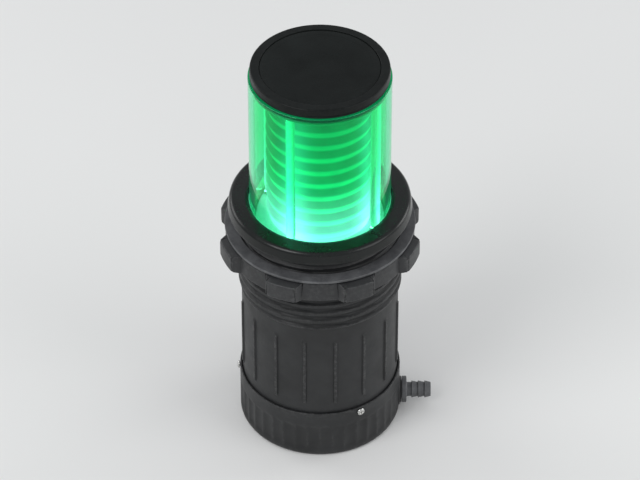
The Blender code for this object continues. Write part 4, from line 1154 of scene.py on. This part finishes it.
def makeDriver():
    sizes = driverSizes
    board = reachOf("driver_board")
    notch = moved(drilling("notch", sizes.notch, 0.006), 0, leadSizes.circle, board.bottom - 0.002)
    piece = combined(turned("driverBoard", ringCorners(board, 0.0001)), [notch], "DIFFERENCE")
    finished(piece, greenMask, "driver_board")
    for number, (across, along, degrees) in enumerate(sizes.resistors, 1):
        piece = softened(bar(f"resistor{number}", sizes.resistor, (0, 0, sizes.resistor[2] / 2)), 0.0001)
        moved(piece, across, along, board.top + 0.00005, degrees)
        finished(shaded(piece, 30), finishes.chipEpoxy)

    low, high, middle = boxOf("driver_chip")
    side = sizes.chip
    body = bar("driverChip", (side, side, high.z - low.z - 0.0002), (middle.x, middle.y, middle.z + 0.0001))
    dimple = drilling("dimple", sizes.dimple, 0.001, 24)
    moved(dimple, middle.x - side * 0.375, middle.y + side * 0.375, high.z - 0.0001)
    softened(combined(body, [dimple], "DIFFERENCE"), 0.00018)
    finished(body, finishes.chipEpoxy, "driver_chip")
    for sign, row in ((-1, "a"), (1, "b")):
        for number in range(sizes.legs):
            along = middle.y + (number - (sizes.legs - 1) / 2) * sizes.legPitch
            place = (middle.x + sign * sizes.legReach, along, low.z + sizes.leg[2] / 2)
            leg = softened(bar(f"chipLeg{number + 1}{row}", sizes.leg, place), 0.00006)
            finished(leg, stainless)

    low, high, middle = boxOf("lead_connector")
    wide, deep = high.x - low.x - sizes.shell, high.y - low.y - sizes.shell
    hollow = bar("hollow", (wide, deep, 0.008), (middle.x, middle.y, low.z + 0.0054))
    key = bar("key", (0.0022, 0.002, 0.008), (middle.x, low.y, low.z + 0.0060))
    shell = combined(bar("leadConnector", high - low, middle), [hollow, key], "DIFFERENCE")
    finished(shell, finishes.acetal, "lead_connector")
    for number in range(sizes.pins):
        across = middle.x + (number - (sizes.pins - 1) / 2) * sizes.pinPitch
        place = (across, middle.y, low.z + 0.00141 + sizes.pinLength / 2)
        pin = bar(f"connectorPin{number + 1}", (sizes.pin, sizes.pin, sizes.pinLength), place)
        finished(shaded(softened(pin, 0.00015)), brass)

    low, high, middle = boxOf("driver_choke")
    outer, height, flange, hub = (high.x - low.x) / 2, high.z - low.z, sizes.flange, sizes.hub
    corners = [
        (0, height), (outer, height, 0.0003), (outer, height - flange, 0.0001), (hub, height - flange),
        (hub, flange), (outer, flange, 0.0001), (outer, 0, 0.0003), (0, 0),
    ]
    node = "driver_choke"
    finished(standing(turned(node, corners, 64), node), finishes.ferrite, node)
    top, steps = height - flange - 0.0001, sizes.turns * 4
    room = top - flange - 0.0001
    corners = [(hub + 0.0001, top)]
    for number in range(steps + 1):
        swell = abs(sin(pi * number / 4)) * room / sizes.turns * 0.45
        corners.append((sizes.winding + swell, top - room * number / steps))
    corners.append((hub + 0.0001, top - room))
    finished(standing(turned("chokeWinding", corners, 64), node), copper)

    low, high, middle = boxOf("driver_capacitor")
    outer, height = (high.x - low.x) / 2, high.z - low.z
    face = height - sizes.canTop
    corners = [
        (0, face), (outer - 0.0009, face, 0.0001), (outer - 0.0006, height, 0.0001), (outer, height, 0.0004),
        (outer, 0.0019, 0.0002), (outer - 0.0005, 0.0015, 0.0003), (outer, 0.0011, 0.0002),
        (outer, 0, 0.0003), (0, 0),
    ]
    can = standing(turned("driverCapacitor", corners, 72), "driver_capacitor")
    top = high.z - sizes.canTop
    vents = [moved(bar("vent", sizes.vent), middle.x, middle.y, top, degrees) for degrees in (0, 60, 120)]
    finished(combined(can, vents, "DIFFERENCE"), aluminium, "driver_capacitor")


studio = Named(
    floor=(0.80, 0.80, 0.79), floorSize=60.0, sky=(0.95, 0.97, 1.0, 1.0), skyStrength=0.55,
    # place, size and power of each round softbox
    keyLight=((-0.85, -0.75, 1.15), 0.9, 9.0),
    fillLight=((1.15, -0.55, 0.65), 1.0, 5.0),
    backLight=((-1.05, 0.75, 0.55), 0.8, 4.0),
    rimLight=((1.20, 0.55, 0.35), 0.7, 4.0),
)
shot = Named(azimuth=0.0, elevation=40.5, distance=2.26, lens=212.0)


def makeStudio():
    bpy.ops.mesh.primitive_plane_add(size=studio.floorSize, location=(0, 0, cadBox[0].z - 0.0002))
    floor = bpy.context.object
    floor.name = "floor"
    finish, shader, place = startFinish("paleFloor")
    pale = studio.floor
    slightly = tuple(channel * 0.97 for channel in pale)
    tone = rampOf(noiseOver(place, 2.0, 3.0), [(0.3, slightly), (0.7, pale)])
    feed(shader, {"Base Color": tone, "Roughness": 0.6})
    floor.data.materials.append(finish)

    world = bpy.data.worlds.new("paleRoom")
    world.use_nodes = True
    sky = world.node_tree.nodes["Background"]
    feed(sky, {"Color": studio.sky, "Strength": studio.skyStrength})
    bpy.context.scene.world = world
    bpy.context.scene.view_settings.view_transform = "Standard"
    for name in ("keyLight", "fillLight", "backLight", "rimLight"):
        softbox(name, *studio[name])


def aimed(item, place, direction):
    bpy.context.scene.collection.objects.link(item)
    item.location = place
    item.rotation_mode = "QUATERNION"
    item.rotation_quaternion = direction.to_track_quat("-Z", "Y")


def softbox(name, place, size, power):
    data = bpy.data.lights.new(name, "AREA")
    data.shape = "DISK"
    data.size = size
    data.energy = power
    lamp = bpy.data.objects.new(name, data)
    aimed(lamp, place, -Vector(place))
    lamp.visible_camera = False


def makeCamera():
    data = bpy.data.cameras.new("camera")
    data.lens = shot.lens
    data.clip_start = 0.05
    data.clip_end = 40.0
    camera = bpy.data.objects.new("camera", data)
    target = Vector((0, 0, (cadBox[0].z + cadBox[1].z) / 2))
    turn, rise = radians(shot.azimuth), radians(shot.elevation)
    back = Vector((sin(turn) * cos(rise), -cos(turn) * cos(rise), sin(rise)))
    aimed(camera, target + back * shot.distance, -back)
    bpy.context.scene.camera = camera


makeCamera()
makeStudio()
print("studio made")
makeCap()
makeTube()
makeGuides()
makeCore()
makeDiodes()
print("rising column made")
makeTrim()
makeSleeve()
makeNut()
makeCup()
makeGland()
makeDrain()
print("deck fitting made")
makeCarrier()
makeTieBolt()
makeDriver()
makeSpring()
makeLead()
dress(stainless, "latch_bracket", "latch_pin", "latch_hook")
dress(finishes.acetal, "heart_cam")
print("inside made")
